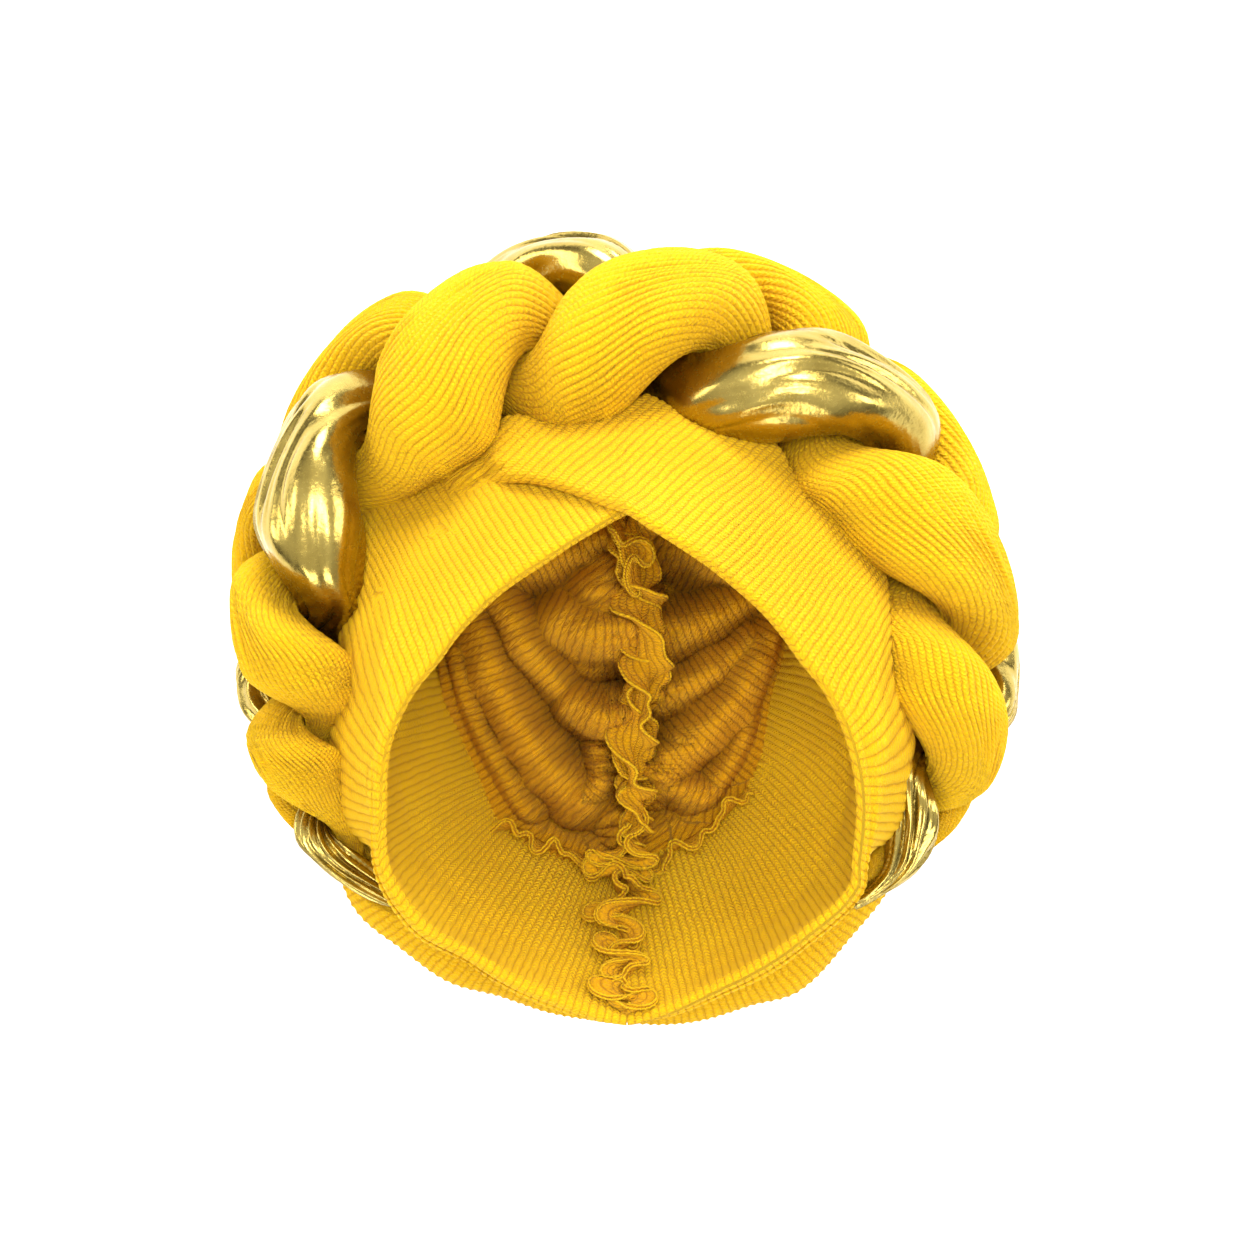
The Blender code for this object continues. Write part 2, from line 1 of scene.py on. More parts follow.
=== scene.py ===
import math
import bpy
import numpy as np
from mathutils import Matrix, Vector


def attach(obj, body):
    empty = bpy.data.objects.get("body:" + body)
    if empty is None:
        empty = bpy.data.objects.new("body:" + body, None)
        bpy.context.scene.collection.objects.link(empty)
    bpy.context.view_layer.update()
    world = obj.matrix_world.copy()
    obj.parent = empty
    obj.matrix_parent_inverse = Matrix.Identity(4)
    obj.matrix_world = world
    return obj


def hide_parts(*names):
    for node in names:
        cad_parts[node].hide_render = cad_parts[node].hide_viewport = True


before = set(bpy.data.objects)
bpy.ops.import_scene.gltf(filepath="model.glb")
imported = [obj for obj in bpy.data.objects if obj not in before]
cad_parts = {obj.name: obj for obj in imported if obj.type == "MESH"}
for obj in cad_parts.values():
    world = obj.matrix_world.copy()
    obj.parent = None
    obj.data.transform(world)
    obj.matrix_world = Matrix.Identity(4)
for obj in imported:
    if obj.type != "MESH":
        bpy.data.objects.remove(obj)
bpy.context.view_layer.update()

# The padded plait. Three tubes of cloth, each filled with fibre: two of yellow ribbed knit and a
# slimmer one of gold foil cloth. They are plaited round the front and sides of the wrap, pressed
# flat against each other, and their ends are tucked under the brim at the nape.
# Sizes are in mm, drawn about the wrap's own centre, and PLACE moves them to the frame's. Clock
# angles run clockwise from the forehead as the photo's camera sees it.
MM = 0.001
PLACE = np.array([1.6226, 3.1477, 0.0])
RING_CENTRE = (-0.5, -3.0)
STRAND_PLUMP = 29.0
STRAND_ROUNDING = 6.0
STRAND_SWING_THICK = 0.43
STRAND_SWING_DEPTH = 0.57
STRAND_SWEEP = (-0.9, 0.0, 0.9)
OVAL_POWER = 2.6
RIBS_OF_STRAND = 50


def table(columns, rows):
    """A table as one list for each named column."""
    names = columns.split()
    return {name: [row[i] for row in rows] for i, name in enumerate(names)}


# One row for each station round the plait: its place, its section and its lean.
PLAIT = table("clock radius height half_depth half_thick lean", [
    (-141, 115.5, 44.5, 5, 4.5, 0),
    (-134.5, 116.5, 45.5, 9, 6.5, 0),
    (-126, 116, 47, 15, 9.5, 1),
    (-112, 111.5, 47, 29, 17, 3),
    (-98, 107, 44, 40, 21, 4),
    (-73, 110, 44, 47.5, 21, 8),
    (-38, 103, 44, 49, 29, 15),
    (-6, 97.5, 44, 49, 30, 16),
    (30, 97, 44, 49, 28, 16),
    (68, 99.5, 43.4, 48, 25, 10),
    (102, 103, 42, 44, 25, 5),
    (116, 105.5, 43, 31, 20, 3),
    (126, 110.5, 45.5, 16, 10.5, 2),
    (134, 112.5, 45.5, 9, 7, 0),
    (141, 112, 44.5, 5, 4.5, 0),
])
# How far the strands have wound round each other by each station, in degrees.
VISITS = table("clock phase", [
    (-141, -35),
    (-134.5, 0),
    (-114, 120),
    (-97, 240),
    (-73, 360),
    (-38, 480),
    (-6, 600),
    (30.5, 720),
    (68, 840),
    (102, 960),
    (125, 1080),
    (141, 1160),
])
# Each strand's lead in the winding and its share of the room.
STRANDS = table("name lead share", [
    ("strand_gold", 90, 0.86),
    ("strand_yellow_a", -30, 1),
    ("strand_yellow_b", -150, 1),
])


def curve_at(xs, ys, x):
    """Values at x of the smooth curve through the rows, with no overshoot."""
    xs = np.asarray(xs, float)
    ys = np.asarray(ys, float)
    x = np.clip(np.asarray(x, float), xs[0], xs[-1])
    steps = np.diff(xs)
    slopes = np.diff(ys) / steps
    tangent = np.zeros(len(xs))
    tangent[0] = slopes[0]
    tangent[-1] = slopes[-1]
    for k in range(1, len(xs) - 1):
        if slopes[k - 1] * slopes[k] > 0.0:
            near = (2.0 * steps[k] + steps[k - 1]) / slopes[k - 1]
            far = (steps[k] + 2.0 * steps[k - 1]) / slopes[k]
            tangent[k] = 3.0 * (steps[k - 1] + steps[k]) / (near + far)
    i = np.clip(np.searchsorted(xs, x, side="right") - 1, 0, len(steps) - 1)
    s = (x - xs[i]) / steps[i]
    rise = (1.0 + 2.0 * s) * (1.0 - s) ** 2 * ys[i] + s * s * (3.0 - 2.0 * s) * ys[i + 1]
    lean = s * (1.0 - s) ** 2 * tangent[i] + s * s * (s - 1.0) * tangent[i + 1]
    return rise + lean * steps[i]


def at(rows, name, clock):
    """Column of a table at clock angles."""
    return curve_at(rows["clock"], rows[name], clock)


def ease(x):
    """Smooth step from 0 to 1."""
    x = np.clip(x, 0.0, 1.0)
    return x * x * (3.0 - 2.0 * x)


def ripple(a, b, seed):
    """Soft irregular wave over two coordinates, between about -1 and 1."""
    total = 0.0
    for k in range(5):
        turn = seed * 1.7 + k * 2.399
        pace = 1.0 + 0.37 * k
        total = total + np.sin(pace * (a * math.cos(turn) + b * math.sin(turn)) + 5.1 * k + seed)
    return total / 2.6


def unit(vectors):
    """Vectors at length one."""
    return vectors / (np.linalg.norm(vectors, axis=-1, keepdims=True) + 1e-9)


def smooth_rows(grid, along, around):
    """Average of a grid over neighbours along it and round it."""
    out = grid
    for reach, axis in ((along, 0), (around, 1)):
        total = np.zeros_like(out)
        for step in range(-reach, reach + 1):
            if axis == 1:
                total += np.roll(out, step, axis=1)
            else:
                rows = np.clip(np.arange(len(out)) + step, 0, len(out) - 1)
                total += out[rows]
        out = total / (2 * reach + 1)
    return out


def strand_centres(clock):
    """Centre of each strand in the plait's section, across its thickness and its depth."""
    phase = curve_at(VISITS["clock"], VISITS["phase"], clock)
    centres = []
    for lead in STRANDS["lead"]:
        theta = np.radians(phase + lead)
        t = -STRAND_SWING_THICK * at(PLAIT, "half_thick", clock) * np.sin(2.0 * theta)
        w = STRAND_SWING_DEPTH * at(PLAIT, "half_depth", clock) * np.sin(theta)
        centres.append(np.stack([t, w], axis=-1))
    return centres


def strand_reaches(index, clock, psi):
    """Reach of a strand's section in each heading, pressed flat against the other two."""
    half_t = at(PLAIT, "half_thick", clock)[:, None]
    half_w = at(PLAIT, "half_depth", clock)[:, None]
    heading = np.stack([np.cos(psi), np.sin(psi)], axis=-1)[None, :, :]
    own = strand_centres(clock)[index][:, None, :]
    near = np.zeros((len(clock), len(psi)))
    far = near + 2.5 * (half_t + half_w)
    for _ in range(26):
        middle = 0.5 * (near + far)
        spot = own + middle[..., None] * heading
        inside = np.abs(spot[..., 0] / half_t) ** OVAL_POWER
        inside = inside + np.abs(spot[..., 1] / half_w) ** OVAL_POWER < 1.0
        near = np.where(inside, middle, near)
        far = np.where(inside, far, middle)
    share = STRANDS["share"]
    plump = STRAND_PLUMP * share[index] * np.minimum(1.0, half_t / 20.0)
    reaches = [near, plump + 0.0 * near]
    for other in range(3):
        if other == index:
            continue
        part = share[index] / (share[index] + share[other])
        limit = np.full_like(near, 1e6)
        for sweep in STRAND_SWEEP:
            centres = strand_centres(clock + sweep)
            step = (centres[other] - centres[index])[:, None, :]
            length = np.linalg.norm(step, axis=-1)
            facing = (heading * step).sum(-1) / length
            lead = ((centres[index][:, None, :] - own) * step).sum(-1) / length
            room = np.maximum(part * length + lead - 0.25, 0.8)
            limit = np.where(facing > 0.02, np.minimum(limit, room / facing), limit)
        reaches.append(limit)
    total = sum(reach ** -STRAND_ROUNDING for reach in reaches)
    return total ** (-1.0 / STRAND_ROUNDING)


def cloth_body(name, points, along, around, wrap=True, caps=True):
    """Mesh of quads over a grid of points, with a UV map in the cloth's own directions."""
    rows, cols = points.shape[:2]
    flat = (points.reshape(-1, 3) + PLACE) * MM
    index = np.arange(rows * cols).reshape(rows, cols)
    ahead = np.roll(index, -1, axis=1) if wrap else index[:, 1:]
    here = index if wrap else index[:, :-1]
    quads = np.stack([here[:-1], ahead[:-1], ahead[1:], here[1:]], axis=-1).reshape(-1, 4)
    uvs = np.stack([np.stack([grid[:-1, :-1], grid[:-1, 1:], grid[1:, 1:], grid[1:, :-1]],
                             axis=-1).reshape(-1) for grid in (around, along)], axis=-1)
    faces = quads.tolist()
    if caps:
        for ring in (index[0], index[-1]):
            middle = len(flat)
            flat = np.vstack([flat, flat[ring].mean(axis=0)])
            faces += [[ring[k], middle, ring[(k + 1) % cols]] for k in range(cols)]
            uvs = np.vstack([uvs, np.zeros((3 * cols, 2))])
    data = bpy.data.meshes.new(name)
    data.from_pydata(flat.tolist(), [], faces)
    layer = data.uv_layers.new(name="cloth")
    layer.data.foreach_set("uv", uvs.astype(np.float32).reshape(-1))
    piece = bpy.data.objects.new(name, data)
    bpy.context.scene.collection.objects.link(piece)
    bpy.ops.object.select_all(action="DESELECT")
    piece.select_set(True)
    bpy.context.view_layer.objects.active = piece
    bpy.ops.object.mode_set(mode="EDIT")
    bpy.ops.mesh.select_all(action="SELECT")
    bpy.ops.mesh.normals_make_consistent(inside=False)
    bpy.ops.object.mode_set(mode="OBJECT")
    bpy.ops.object.shade_smooth()
    piece.select_set(False)
    return piece


def strand_piece(index, name, rings, sides, surface):
    """One padded strand, its skin shaped by surface(reach, squeeze, along, turn)."""
    clock = np.linspace(PLAIT["clock"][0], PLAIT["clock"][-1], rings)
    psi = 2.0 * math.pi * np.arange(sides) / sides
    reach = strand_reaches(index, clock, psi)
    plump = reach.max(axis=1, keepdims=True)
    for _ in range(3):
        soft = smooth_rows(reach, max(1, rings // 90), max(1, sides // 30))
        reach = np.minimum(reach, soft + 0.3)
    soft = smooth_rows(reach, max(1, rings // 160), max(1, sides // 60))
    reach = np.minimum(reach + 0.1, soft)
    squeeze = np.clip(1.0 - reach / plump, 0.0, 1.0)
    radius = at(PLAIT, "radius", clock)[:, None]
    length = np.radians(clock)[:, None] * radius + 0.0 * reach
    turn = psi[None, :] / (2.0 * math.pi) + 0.0 * reach
    lean = np.radians(at(PLAIT, "lean", clock))[:, None]
    height = at(PLAIT, "height", clock)[:, None]
    own = strand_centres(clock)[index]
    skin = np.zeros((rings, sides, 3))
    edge = np.zeros((rings, sides + 1))
    for stage in range(2):
        t = own[:, :1] + reach * np.cos(psi)
        w = own[:, 1:] + reach * np.sin(psi)
        if stage == 0:
            hops = np.hypot(np.roll(t, -1, axis=1) - t, np.roll(w, -1, axis=1) - w)
            edge[:, 1:] = np.cumsum(hops, axis=1)
            edge = edge / edge[:, -1:]
            edge = 0.7 * edge + 0.3 * np.linspace(0.0, 1.0, sides + 1)
            reach = surface(reach, squeeze, length, edge[:, :-1], turn)
    out = radius + t * np.cos(lean) - w * np.sin(lean)
    up = height + w * np.cos(lean) + t * np.sin(lean)
    up = np.where(up < 1.2, 0.02 + 1.18 * np.exp((up - 1.2) / 1.2), up)
    angle = np.radians(clock)[:, None]
    skin[..., 0] = RING_CENTRE[0] + out * np.sin(angle)
    skin[..., 1] = RING_CENTRE[1] + out * np.cos(angle)
    skin[..., 2] = up
    along = np.concatenate([length, length[:, :1]], axis=1)
    return cloth_body(name, skin, along, edge * RIBS_OF_STRAND)


def ribbed_skin(reach, squeeze, length, edge, turn):
    """Rounded ribs along the strand, deeper pleats where it is pinched, and soft unevenness."""
    drift = 0.2 * ripple(length * 0.09, turn * 14.0, 3.0)
    rib = np.abs(np.sin(math.pi * (edge * RIBS_OF_STRAND + drift))) ** 0.7
    pinch = ease((squeeze - 0.2) / 0.4)
    pleat = np.sin(2.0 * math.pi * (edge * 13.0 + 0.4 * ripple(length * 0.05, turn * 5.0, 8.0)))
    soft = ripple(length * 0.055, turn * 7.0, 1.0)
    size = np.minimum(1.0, reach / 9.0)
    return reach - 1.0 + size * (1.1 * rib + 0.8 * pinch * pleat + 0.45 * soft)


def foil_skin(reach, squeeze, length, edge, turn):
    """Smooth foil cloth with creases that run along the strand from its pinched ends."""
    pinch = ease((squeeze - 0.08) / 0.4)
    tight = ease(2.2 * (1.0 - reach.max(axis=1, keepdims=True) / reach.max()))
    wander = 0.6 * ripple(length * 0.045, turn * 6.0, 5.0)
    crease = np.abs(np.sin(math.pi * (edge * 11.0 + wander))) ** 0.6
    fine = np.abs(np.sin(math.pi * (edge * 25.0 + 1.7 * wander))) ** 0.7
    soft = ripple(length * 0.05, turn * 6.0, 2.0)
    size = np.minimum(1.0, reach / 9.0)
    broad = np.sin(2.0 * math.pi * (edge * 5.0 + wander + length * 0.01))
    deep = 0.35 + 2.0 * pinch + 1.6 * tight
    return reach - 0.7 + size * (deep * (crease - 0.7) + (0.15 + 0.5 * pinch + 0.4 * tight) * fine
                                 + 0.6 * broad + 0.4 * soft)


def linear(colour):
    """Linear colour of an sRGB hex value."""
    parts = [int(colour[k:k + 2], 16) / 255.0 for k in (1, 3, 5)]
    parts = [c / 12.92 if c <= 0.04045 else ((c + 0.055) / 1.055) ** 2.4 for c in parts]
    return (*parts, 1.0)


def new_material(name):
    """A material with its node tree and its Principled BSDF."""
    material = bpy.data.materials.new(name)
    material.use_nodes = True
    return material, material.node_tree, material.node_tree.nodes["Principled BSDF"]


def node(tree, kind, settings=None, links=None):
    """A shader node with its settings, and links from other nodes' outputs to its sockets."""
    made = tree.nodes.new(kind)
    for key, value in (settings or {}).items():
        if isinstance(key, int) or key in made.inputs:
            made.inputs[key].default_value = value
        else:
            setattr(made, key, value)
    for key, source in (links or {}).items():
        tree.links.new(source, made.inputs[key])
    return made


def maths(tree, operation, *terms):
    """The output of a math node whose terms are numbers or other nodes' outputs."""
    settings = {k: term for k, term in enumerate(terms) if isinstance(term, float)}
    links = {k: term for k, term in enumerate(terms) if not isinstance(term, float)}
    settings["operation"] = operation
    return node(tree, "ShaderNodeMath", settings, links).outputs["Value"]


# Ribbed stretch knit of cotton yarn: soft and matt, with a short fuzz that catches light at the
# edges. Ribs 2.5 mm apart lie along the cloth, small loops 1.5 mm long sit on each rib, and the
# grooves between ribs have painted shade: a darker colour is mixed in where a groove is deep.
LOOP_LENGTH = 1.5


def knit_material(name, rib_depth, dark="#F4B907", light="#F9C912", painted_groove_shade="#CC8600"):
    """Golden yellow ribbed knit with painted shade in its rib grooves. One unit of the UV map's U
    is a rib, and of its V a mm.
    """
    material, tree, shader = new_material(name)
    shader.inputs["Roughness"].default_value = 0.82
    shader.inputs["IOR"].default_value = 1.45
    shader.inputs["Specular IOR Level"].default_value = 0.15
    shader.inputs["Sheen Weight"].default_value = 0.1
    shader.inputs["Sheen Roughness"].default_value = 0.4
    shader.inputs["Sheen Tint"].default_value = linear("#FFF0A0")
    uv = node(tree, "ShaderNodeUVMap", {"uv_map": "cloth"})
    place = node(tree, "ShaderNodeTexCoord")
    waver = node(tree, "ShaderNodeTexNoise", {"Scale": 160.0, "Detail": 2.0},
                 {"Vector": place.outputs["Object"]})
    split = node(tree, "ShaderNodeSeparateXYZ", {}, {"Vector": uv.outputs["UV"]})
    shift = maths(tree, "MULTIPLY_ADD", waver.outputs["Fac"], 0.5, -0.25)
    across = maths(tree, "ADD", split.outputs["X"], shift)
    turn = maths(tree, "MULTIPLY", across, math.pi)
    wave = maths(tree, "SINE", turn)
    bare = maths(tree, "ABSOLUTE", wave)
    rib = maths(tree, "POWER", bare, 0.7)
    # Loops of yarn: two slanted legs on every rib, half a loop out of step from rib to rib.
    number = maths(tree, "FLOOR", across)
    spot = maths(tree, "FRACT", across)
    middle = maths(tree, "SUBTRACT", spot, 0.5)
    leg = maths(tree, "ABSOLUTE", middle)
    step = maths(tree, "MULTIPLY", number, 2.6)
    slant = maths(tree, "MULTIPLY_ADD", leg, 7.0, step)
    wander = maths(tree, "MULTIPLY_ADD", waver.outputs["Fac"], 6.0, slant)
    run = maths(tree, "MULTIPLY_ADD", split.outputs["Y"], 2.0 * math.pi / LOOP_LENGTH, wander)
    loop = maths(tree, "SINE", run)
    fuzz = node(tree, "ShaderNodeTexNoise", {"Scale": 1100.0, "Detail": 3.0, "Roughness": 0.7,
                                             "Distortion": 1.2},
                {"Vector": place.outputs["Object"]})
    grain = maths(tree, "MULTIPLY", fuzz.outputs["Fac"], 2.4)
    beads = maths(tree, "MULTIPLY_ADD", loop, 0.4, grain)
    relief = maths(tree, "MULTIPLY_ADD", rib, rib_depth, beads)
    bump = node(tree, "ShaderNodeBump", {"Strength": 0.85, "Distance": 0.0009},
                {"Height": relief})
    patch = node(tree, "ShaderNodeTexNoise", {"Scale": 34.0, "Detail": 2.0},
                 {"Vector": place.outputs["Object"]})
    yarn = node(tree, "ShaderNodeMix", {"data_type": "RGBA", 6: linear(dark),
                                        7: linear(light)}, {0: patch.outputs["Fac"]})
    # Painted shade: the deeper a rib groove, the more of the darker groove colour is mixed in.
    depth = node(tree, "ShaderNodeMapRange", {"From Min": 0.0, "From Max": 0.75,
                                              "To Min": 0.75, "To Max": 0.0},
                 {"Value": rib})
    yarn_and_painted_groove_shade = node(tree, "ShaderNodeMix", {"data_type": "RGBA", 7: linear(painted_groove_shade)},
                {0: depth.outputs["Result"], 6: yarn.outputs[2]})
    tree.links.new(yarn_and_painted_groove_shade.outputs[2], shader.inputs["Base Color"])
    tree.links.new(bump.outputs["Normal"], shader.inputs["Normal"])
    return material


# Gold foil cloth: a thin stretch cloth with a pressed metal film. It shines, and dents and a
# fine crackle in the film break its reflections and make its gloss uneven.
def foil_material():
    """Metal film on cloth, with fine crackle and slightly uneven gloss."""
    material, tree, shader = new_material("gold_foil_cloth")
    shader.inputs["Metallic"].default_value = 1.0
    place = node(tree, "ShaderNodeTexCoord")
    crackle = node(tree, "ShaderNodeTexNoise", {"Scale": 700.0, "Detail": 4.0, "Roughness": 0.6},
                   {"Vector": place.outputs["Object"]})
    dents = node(tree, "ShaderNodeTexNoise", {"Scale": 110.0, "Detail": 3.0},
                 {"Vector": place.outputs["Object"]})
    relief = maths(tree, "MULTIPLY_ADD", crackle.outputs["Fac"], 0.25, dents.outputs["Fac"])
    bump = node(tree, "ShaderNodeBump", {"Strength": 0.4, "Distance": 0.0008},
                {"Height": relief})
    film = node(tree, "ShaderNodeMix", {"data_type": "RGBA", 6: linear("#8C7634"),
                                        7: linear("#BCA659")}, {0: dents.outputs["Fac"]})
    gloss = node(tree, "ShaderNodeMapRange", {"To Min": 0.14, "To Max": 0.36},
                 {"Value": crackle.outputs["Fac"]})
    tree.links.new(film.outputs[2], shader.inputs["Base Color"])
    tree.links.new(gloss.outputs["Result"], shader.inputs["Roughness"])
    tree.links.new(bump.outputs["Normal"], shader.inputs["Normal"])
    return material


rib_knit = knit_material("yellow_rib_knit", 0.9)
gold_foil = foil_material()

gold = strand_piece(0, "gold_strand", 270, 140, foil_skin)
gold.data.materials.append(gold_foil)
strands = [gold]
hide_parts("strand_gold")
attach(gold, "root")
for index, name in ((1, "yellow_strand_a"), (2, "yellow_strand_b")):
    strand = strand_piece(index, name, 230, 260, ribbed_skin)
    strands.append(strand)
    strand.data.materials.append(rib_knit)
    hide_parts(STRANDS["name"][index])
    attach(strand, "root")


# The brim. Two straight strips of the same ribbed knit, each folded double so that the fold is
# the brim edge. They are sewn together at the nape, and the right one laps over the left one
# at the forehead. The ribs run across each strip, so they meet the brim edge squarely.
BAG_CENTRE = (-1.4, -46.0)
RIB_PITCH = 2.6
BAND_THICK = 5.0
FACING_THICK = 1.8
BAND_STATIONS = 430
LEFT_LAP_STATIONS = 34
RIGHT_LAP_STATIONS = 105
# The brim's edge from the nape point to the forehead point, and on to the nape.
BRIM_LEFT = table("clock radius height", [
    (-180, 79.8, 52),
    (-157.7, 75.9, 59),
    (-142.1, 75.8, 65),
    (-127.2, 80.8, 72),
    (-116.3, 81.5, 77),
    (-100, 76.7, 87),
    (-84.5, 73.9, 95),
    (-70.9, 70.3, 100),
    (-57.6, 66.7, 104),
    (-45.2, 66.6, 106),
    (-25.6, 67.8, 109),
    (-9.7, 72.9, 111),
    (0, 78.7, 112),
])
BRIM_RIGHT = table("clock radius height", [
    (0, 78.7, 112),
    (5.5, 74.3, 112),
    (19.3, 68, 111),
    (35.4, 64.4, 109),
    (56.1, 63, 105),
    (68.6, 65.6, 102),
    (80.3, 68.4, 98),
    (97.9, 72.7, 89),
    (112.7, 76.9, 80),
    (117.6, 79.5, 77),
    (134.9, 75.8, 69),
    (154.9, 74.6, 60),
    (180, 79.8, 52),
])
# Where the free edge of a band runs across the other band.
LAP_EDGE_RIGHT = table("clock radius", [
    (-46, 125),
    (-36, 112),
    (-32, 105.5),
    (-26.9, 99),
    (-20.5, 95.5),
    (-13.5, 89.1),
    (-5.8, 82.2),
    (0, 78.7),
])
LAP_EDGE_LEFT = table("clock radius", [(0.0, 78.7), (6.9, 85.7), (14.0, 94.0)])
# Where the outer layer turns down behind the brim, and how far below it.
CREASE_LEFT = table("clock radius drop", [
    (-180, 80, 2),
    (-157.7, 77, 2),
    (-142.1, 77.5, 2),
    (-130, 81.5, 2.5),
    (-121.7, 84, 4),
    (-111.4, 84, 4),
    (-95.3, 81, 4),
    (-79.2, 79.6, 5),
    (-64, 84.1, 7),
    (-52.5, 91.4, 18),
    (-41.7, 98, 30),
    (-32, 102.5, 38),
    (0, 106, 40),
    (14, 105, 40),
])
CREASE_RIGHT = table("clock radius drop", [
    (-39, 105, 38),
    (0, 107, 40),
    (30, 105, 38),
    (45, 100, 31),
    (54.3, 95.4, 23),
    (60, 91.9, 17),
    (74.6, 82, 7),
    (90, 81, 5),
    (107, 81.5, 4),
    (120, 83, 4),
    (130, 80, 2.5),
    (142, 77, 2),
    (157, 76.5, 2),
    (180, 80, 2),
])
# Heading of the ribs in degrees, on the outer and the inner layer.
RIB_TURN_LEFT = table("clock outer inner", [
    (-180, 270, 260),
    (-165, 255, 248),
    (-145, 240, 240),
    (-125, 215, 236),
    (-110, 190, 222),
    (-95, 165, 205),
    (-80, 130, 198),
    (-65, 108, 190),
    (-55, 112, 165),
    (-45, 118, 150),
    (-30, 124, 130),
    (0, 126, 126),
    (14, 126, 126),
])
RIB_TURN_RIGHT = table("clock outer inner", [
    (-39, 47, 47),
    (0, 43, 46),
    (20, 42, 44),
    (35, 46, 40),
    (50, 53, 20),
    (65, 60, -20),
    (80, 40, -36),
    (95, 0, -46),
    (110, -20, -50),
    (125, -35, -60),
    (145, -55, -72),
    (165, -75, -76),
    (180, -90, -82),
])
# The lower edge of the inner layer, inside the hollow.
FACING = table("clock radius height", [
    (-180, 39, 16),
    (-162, 36.5, 14),
    (-136, 38.9, 14),
    (-117, 45.5, 15),
    (-101.5, 47.7, 14),
    (-82.8, 54.7, 14),
    (-66, 68, 22),
    (-54, 80, 16),
    (-39, 86, 9),
    (0, 90, 8),
    (40, 81, 9),
    (53, 66, 17),
    (63.4, 54.1, 15),
    (74.5, 47.8, 14),
    (96, 40.4, 14),
    (110, 37.7, 14),
    (130, 33.7, 13),
    (160, 31, 14),
    (180, 39, 16),
])
# Shoulder and foot of the bands, then the bulge, corner and flat floor of the bag.
BODY = table("clock shoulder_r shoulder_z foot_r foot_z wall_r wall_z corner_r flat_r", [
    (-180, 74, 44, 66, 37, 85.3, 18, 74, 66),
    (-167, 74.5, 46, 67, 38, 86, 18, 75, 66),
    (-151.6, 75.5, 51, 70, 41, 88.5, 18, 76, 66),
    (-142, 76.5, 54, 71, 42, 92, 18, 78, 68),
    (-129, 80.5, 60, 73, 44, 96.6, 18, 82, 70),
    (-115.6, 82.5, 66, 74, 45, 102.5, 18, 86, 72),
    (-103, 83, 72, 75.5, 46, 100.5, 16, 84, 70),
    (-90, 86, 75, 77, 46, 82, 24, 76, 68),
    (-71, 88, 79, 86, 48, 87, 28, 80, 70),
    (-58, 98, 76, 97, 49, 97, 28, 89, 78),
    (-45, 101.5, 71, 101, 50, 104, 28, 96, 86),
    (-30, 99.5, 69, 99, 50, 108, 28, 100, 90),
    (-15, 100.2, 69, 99.2, 51, 110, 28, 102, 92),
    (0, 102.2, 69, 100.7, 52, 112, 28, 104, 94),
    (15, 100.2, 69, 99.2, 52, 110, 28, 102, 92),
    (30, 99, 69, 97, 52, 108, 28, 99, 88),
    (45, 96.5, 71, 94.5, 50, 101, 28, 93, 82),
    (60, 87, 77, 84.5, 48, 91, 28, 84, 74),
    (75, 79, 80, 76.5, 47, 80.5, 28, 76, 68),
    (90, 77.5, 76, 74.5, 46, 79, 26, 74, 66),
    (105, 79, 70, 74.5, 45, 82, 21, 75, 66),
    (117, 81, 64, 73, 44, 95, 18, 80, 68),
    (129, 78, 59, 72, 43, 94.5, 18, 80, 68),
    (142.7, 76, 53, 70.5, 41, 94, 18, 79, 68),
    (153, 75, 50, 69.5, 40, 90.2, 18, 77, 66),
    (164, 74.5, 47, 68, 39, 88.6, 18, 76, 66),
    (180, 74, 44, 66, 37, 85.3, 18, 74, 66),
])


def walk(knots, shares):
    """Points at shares of the length of a smooth line through knots of radius and height."""
    lengths = [0.0]
    for a, b in zip(knots, knots[1:]):
        lengths.append(lengths[-1] + math.hypot(b[0] - a[0], b[1] - a[1]))
    marks = [length / lengths[-1] for length in lengths]
    r = curve_at(marks, [knot[0] for knot in knots], shares)
    z = curve_at(marks, [knot[1] for knot in knots], shares)
    return np.stack([r, z], axis=-1)


def band_knots(clock):
    """Middle line of the folded band in its radial plane: brim, shoulder and foot."""
    rows = BRIM_LEFT if clock < 0.0 else BRIM_RIGHT
    return [
        (float(at(rows, "radius", clock)) + 0.45 * BAND_THICK,
         float(at(rows, "height", clock)) - 2.4),
        (float(at(BODY, "shoulder_r", clock)), float(at(BODY, "shoulder_z", clock))),
        (float(at(BODY, "foot_r", clock)), float(at(BODY, "foot_z", clock))),
    ]


def normals_of(line):
    """Unit normals of a profile line on the side away from the head."""
    ahead = np.gradient(line, axis=0)
    ahead = ahead / np.linalg.norm(ahead, axis=1, keepdims=True)
    return np.stack([-ahead[:, 1], ahead[:, 0]], axis=-1)


def about_bag(reach, height, angle):
    """Points at radii, heights and clock angles in radians about the bag's centre."""
    return np.stack([BAG_CENTRE[0] + reach * np.sin(angle),
                     BAG_CENTRE[1] + reach * np.cos(angle), height], axis=-1)


def room_beside_plait():
    """Smallest radius of the plait from the bag's centre, by clock angle and height."""
    room = np.full((181, 24), 1e3)
    for strand in strands:
        count = len(strand.data.vertices)
        spots = np.zeros(count * 3, np.float32)
        strand.data.vertices.foreach_get("co", spots)
        spots = spots.reshape(-1, 3) * 1000.0 - PLACE
        east = spots[:, 0] - BAG_CENTRE[0]
        north = spots[:, 1] - BAG_CENTRE[1]
        column = np.round(np.degrees(np.arctan2(east, north)) / 2.0).astype(int) + 90
        row = np.clip(np.round(spots[:, 2] / 4.0).astype(int), 0, 23)
        np.minimum.at(room, (column, row), np.hypot(east, north))
    room = np.minimum(room, 125.0)
    return smooth_rows(smooth_rows(room, 1, 0).T, 1, 0).T


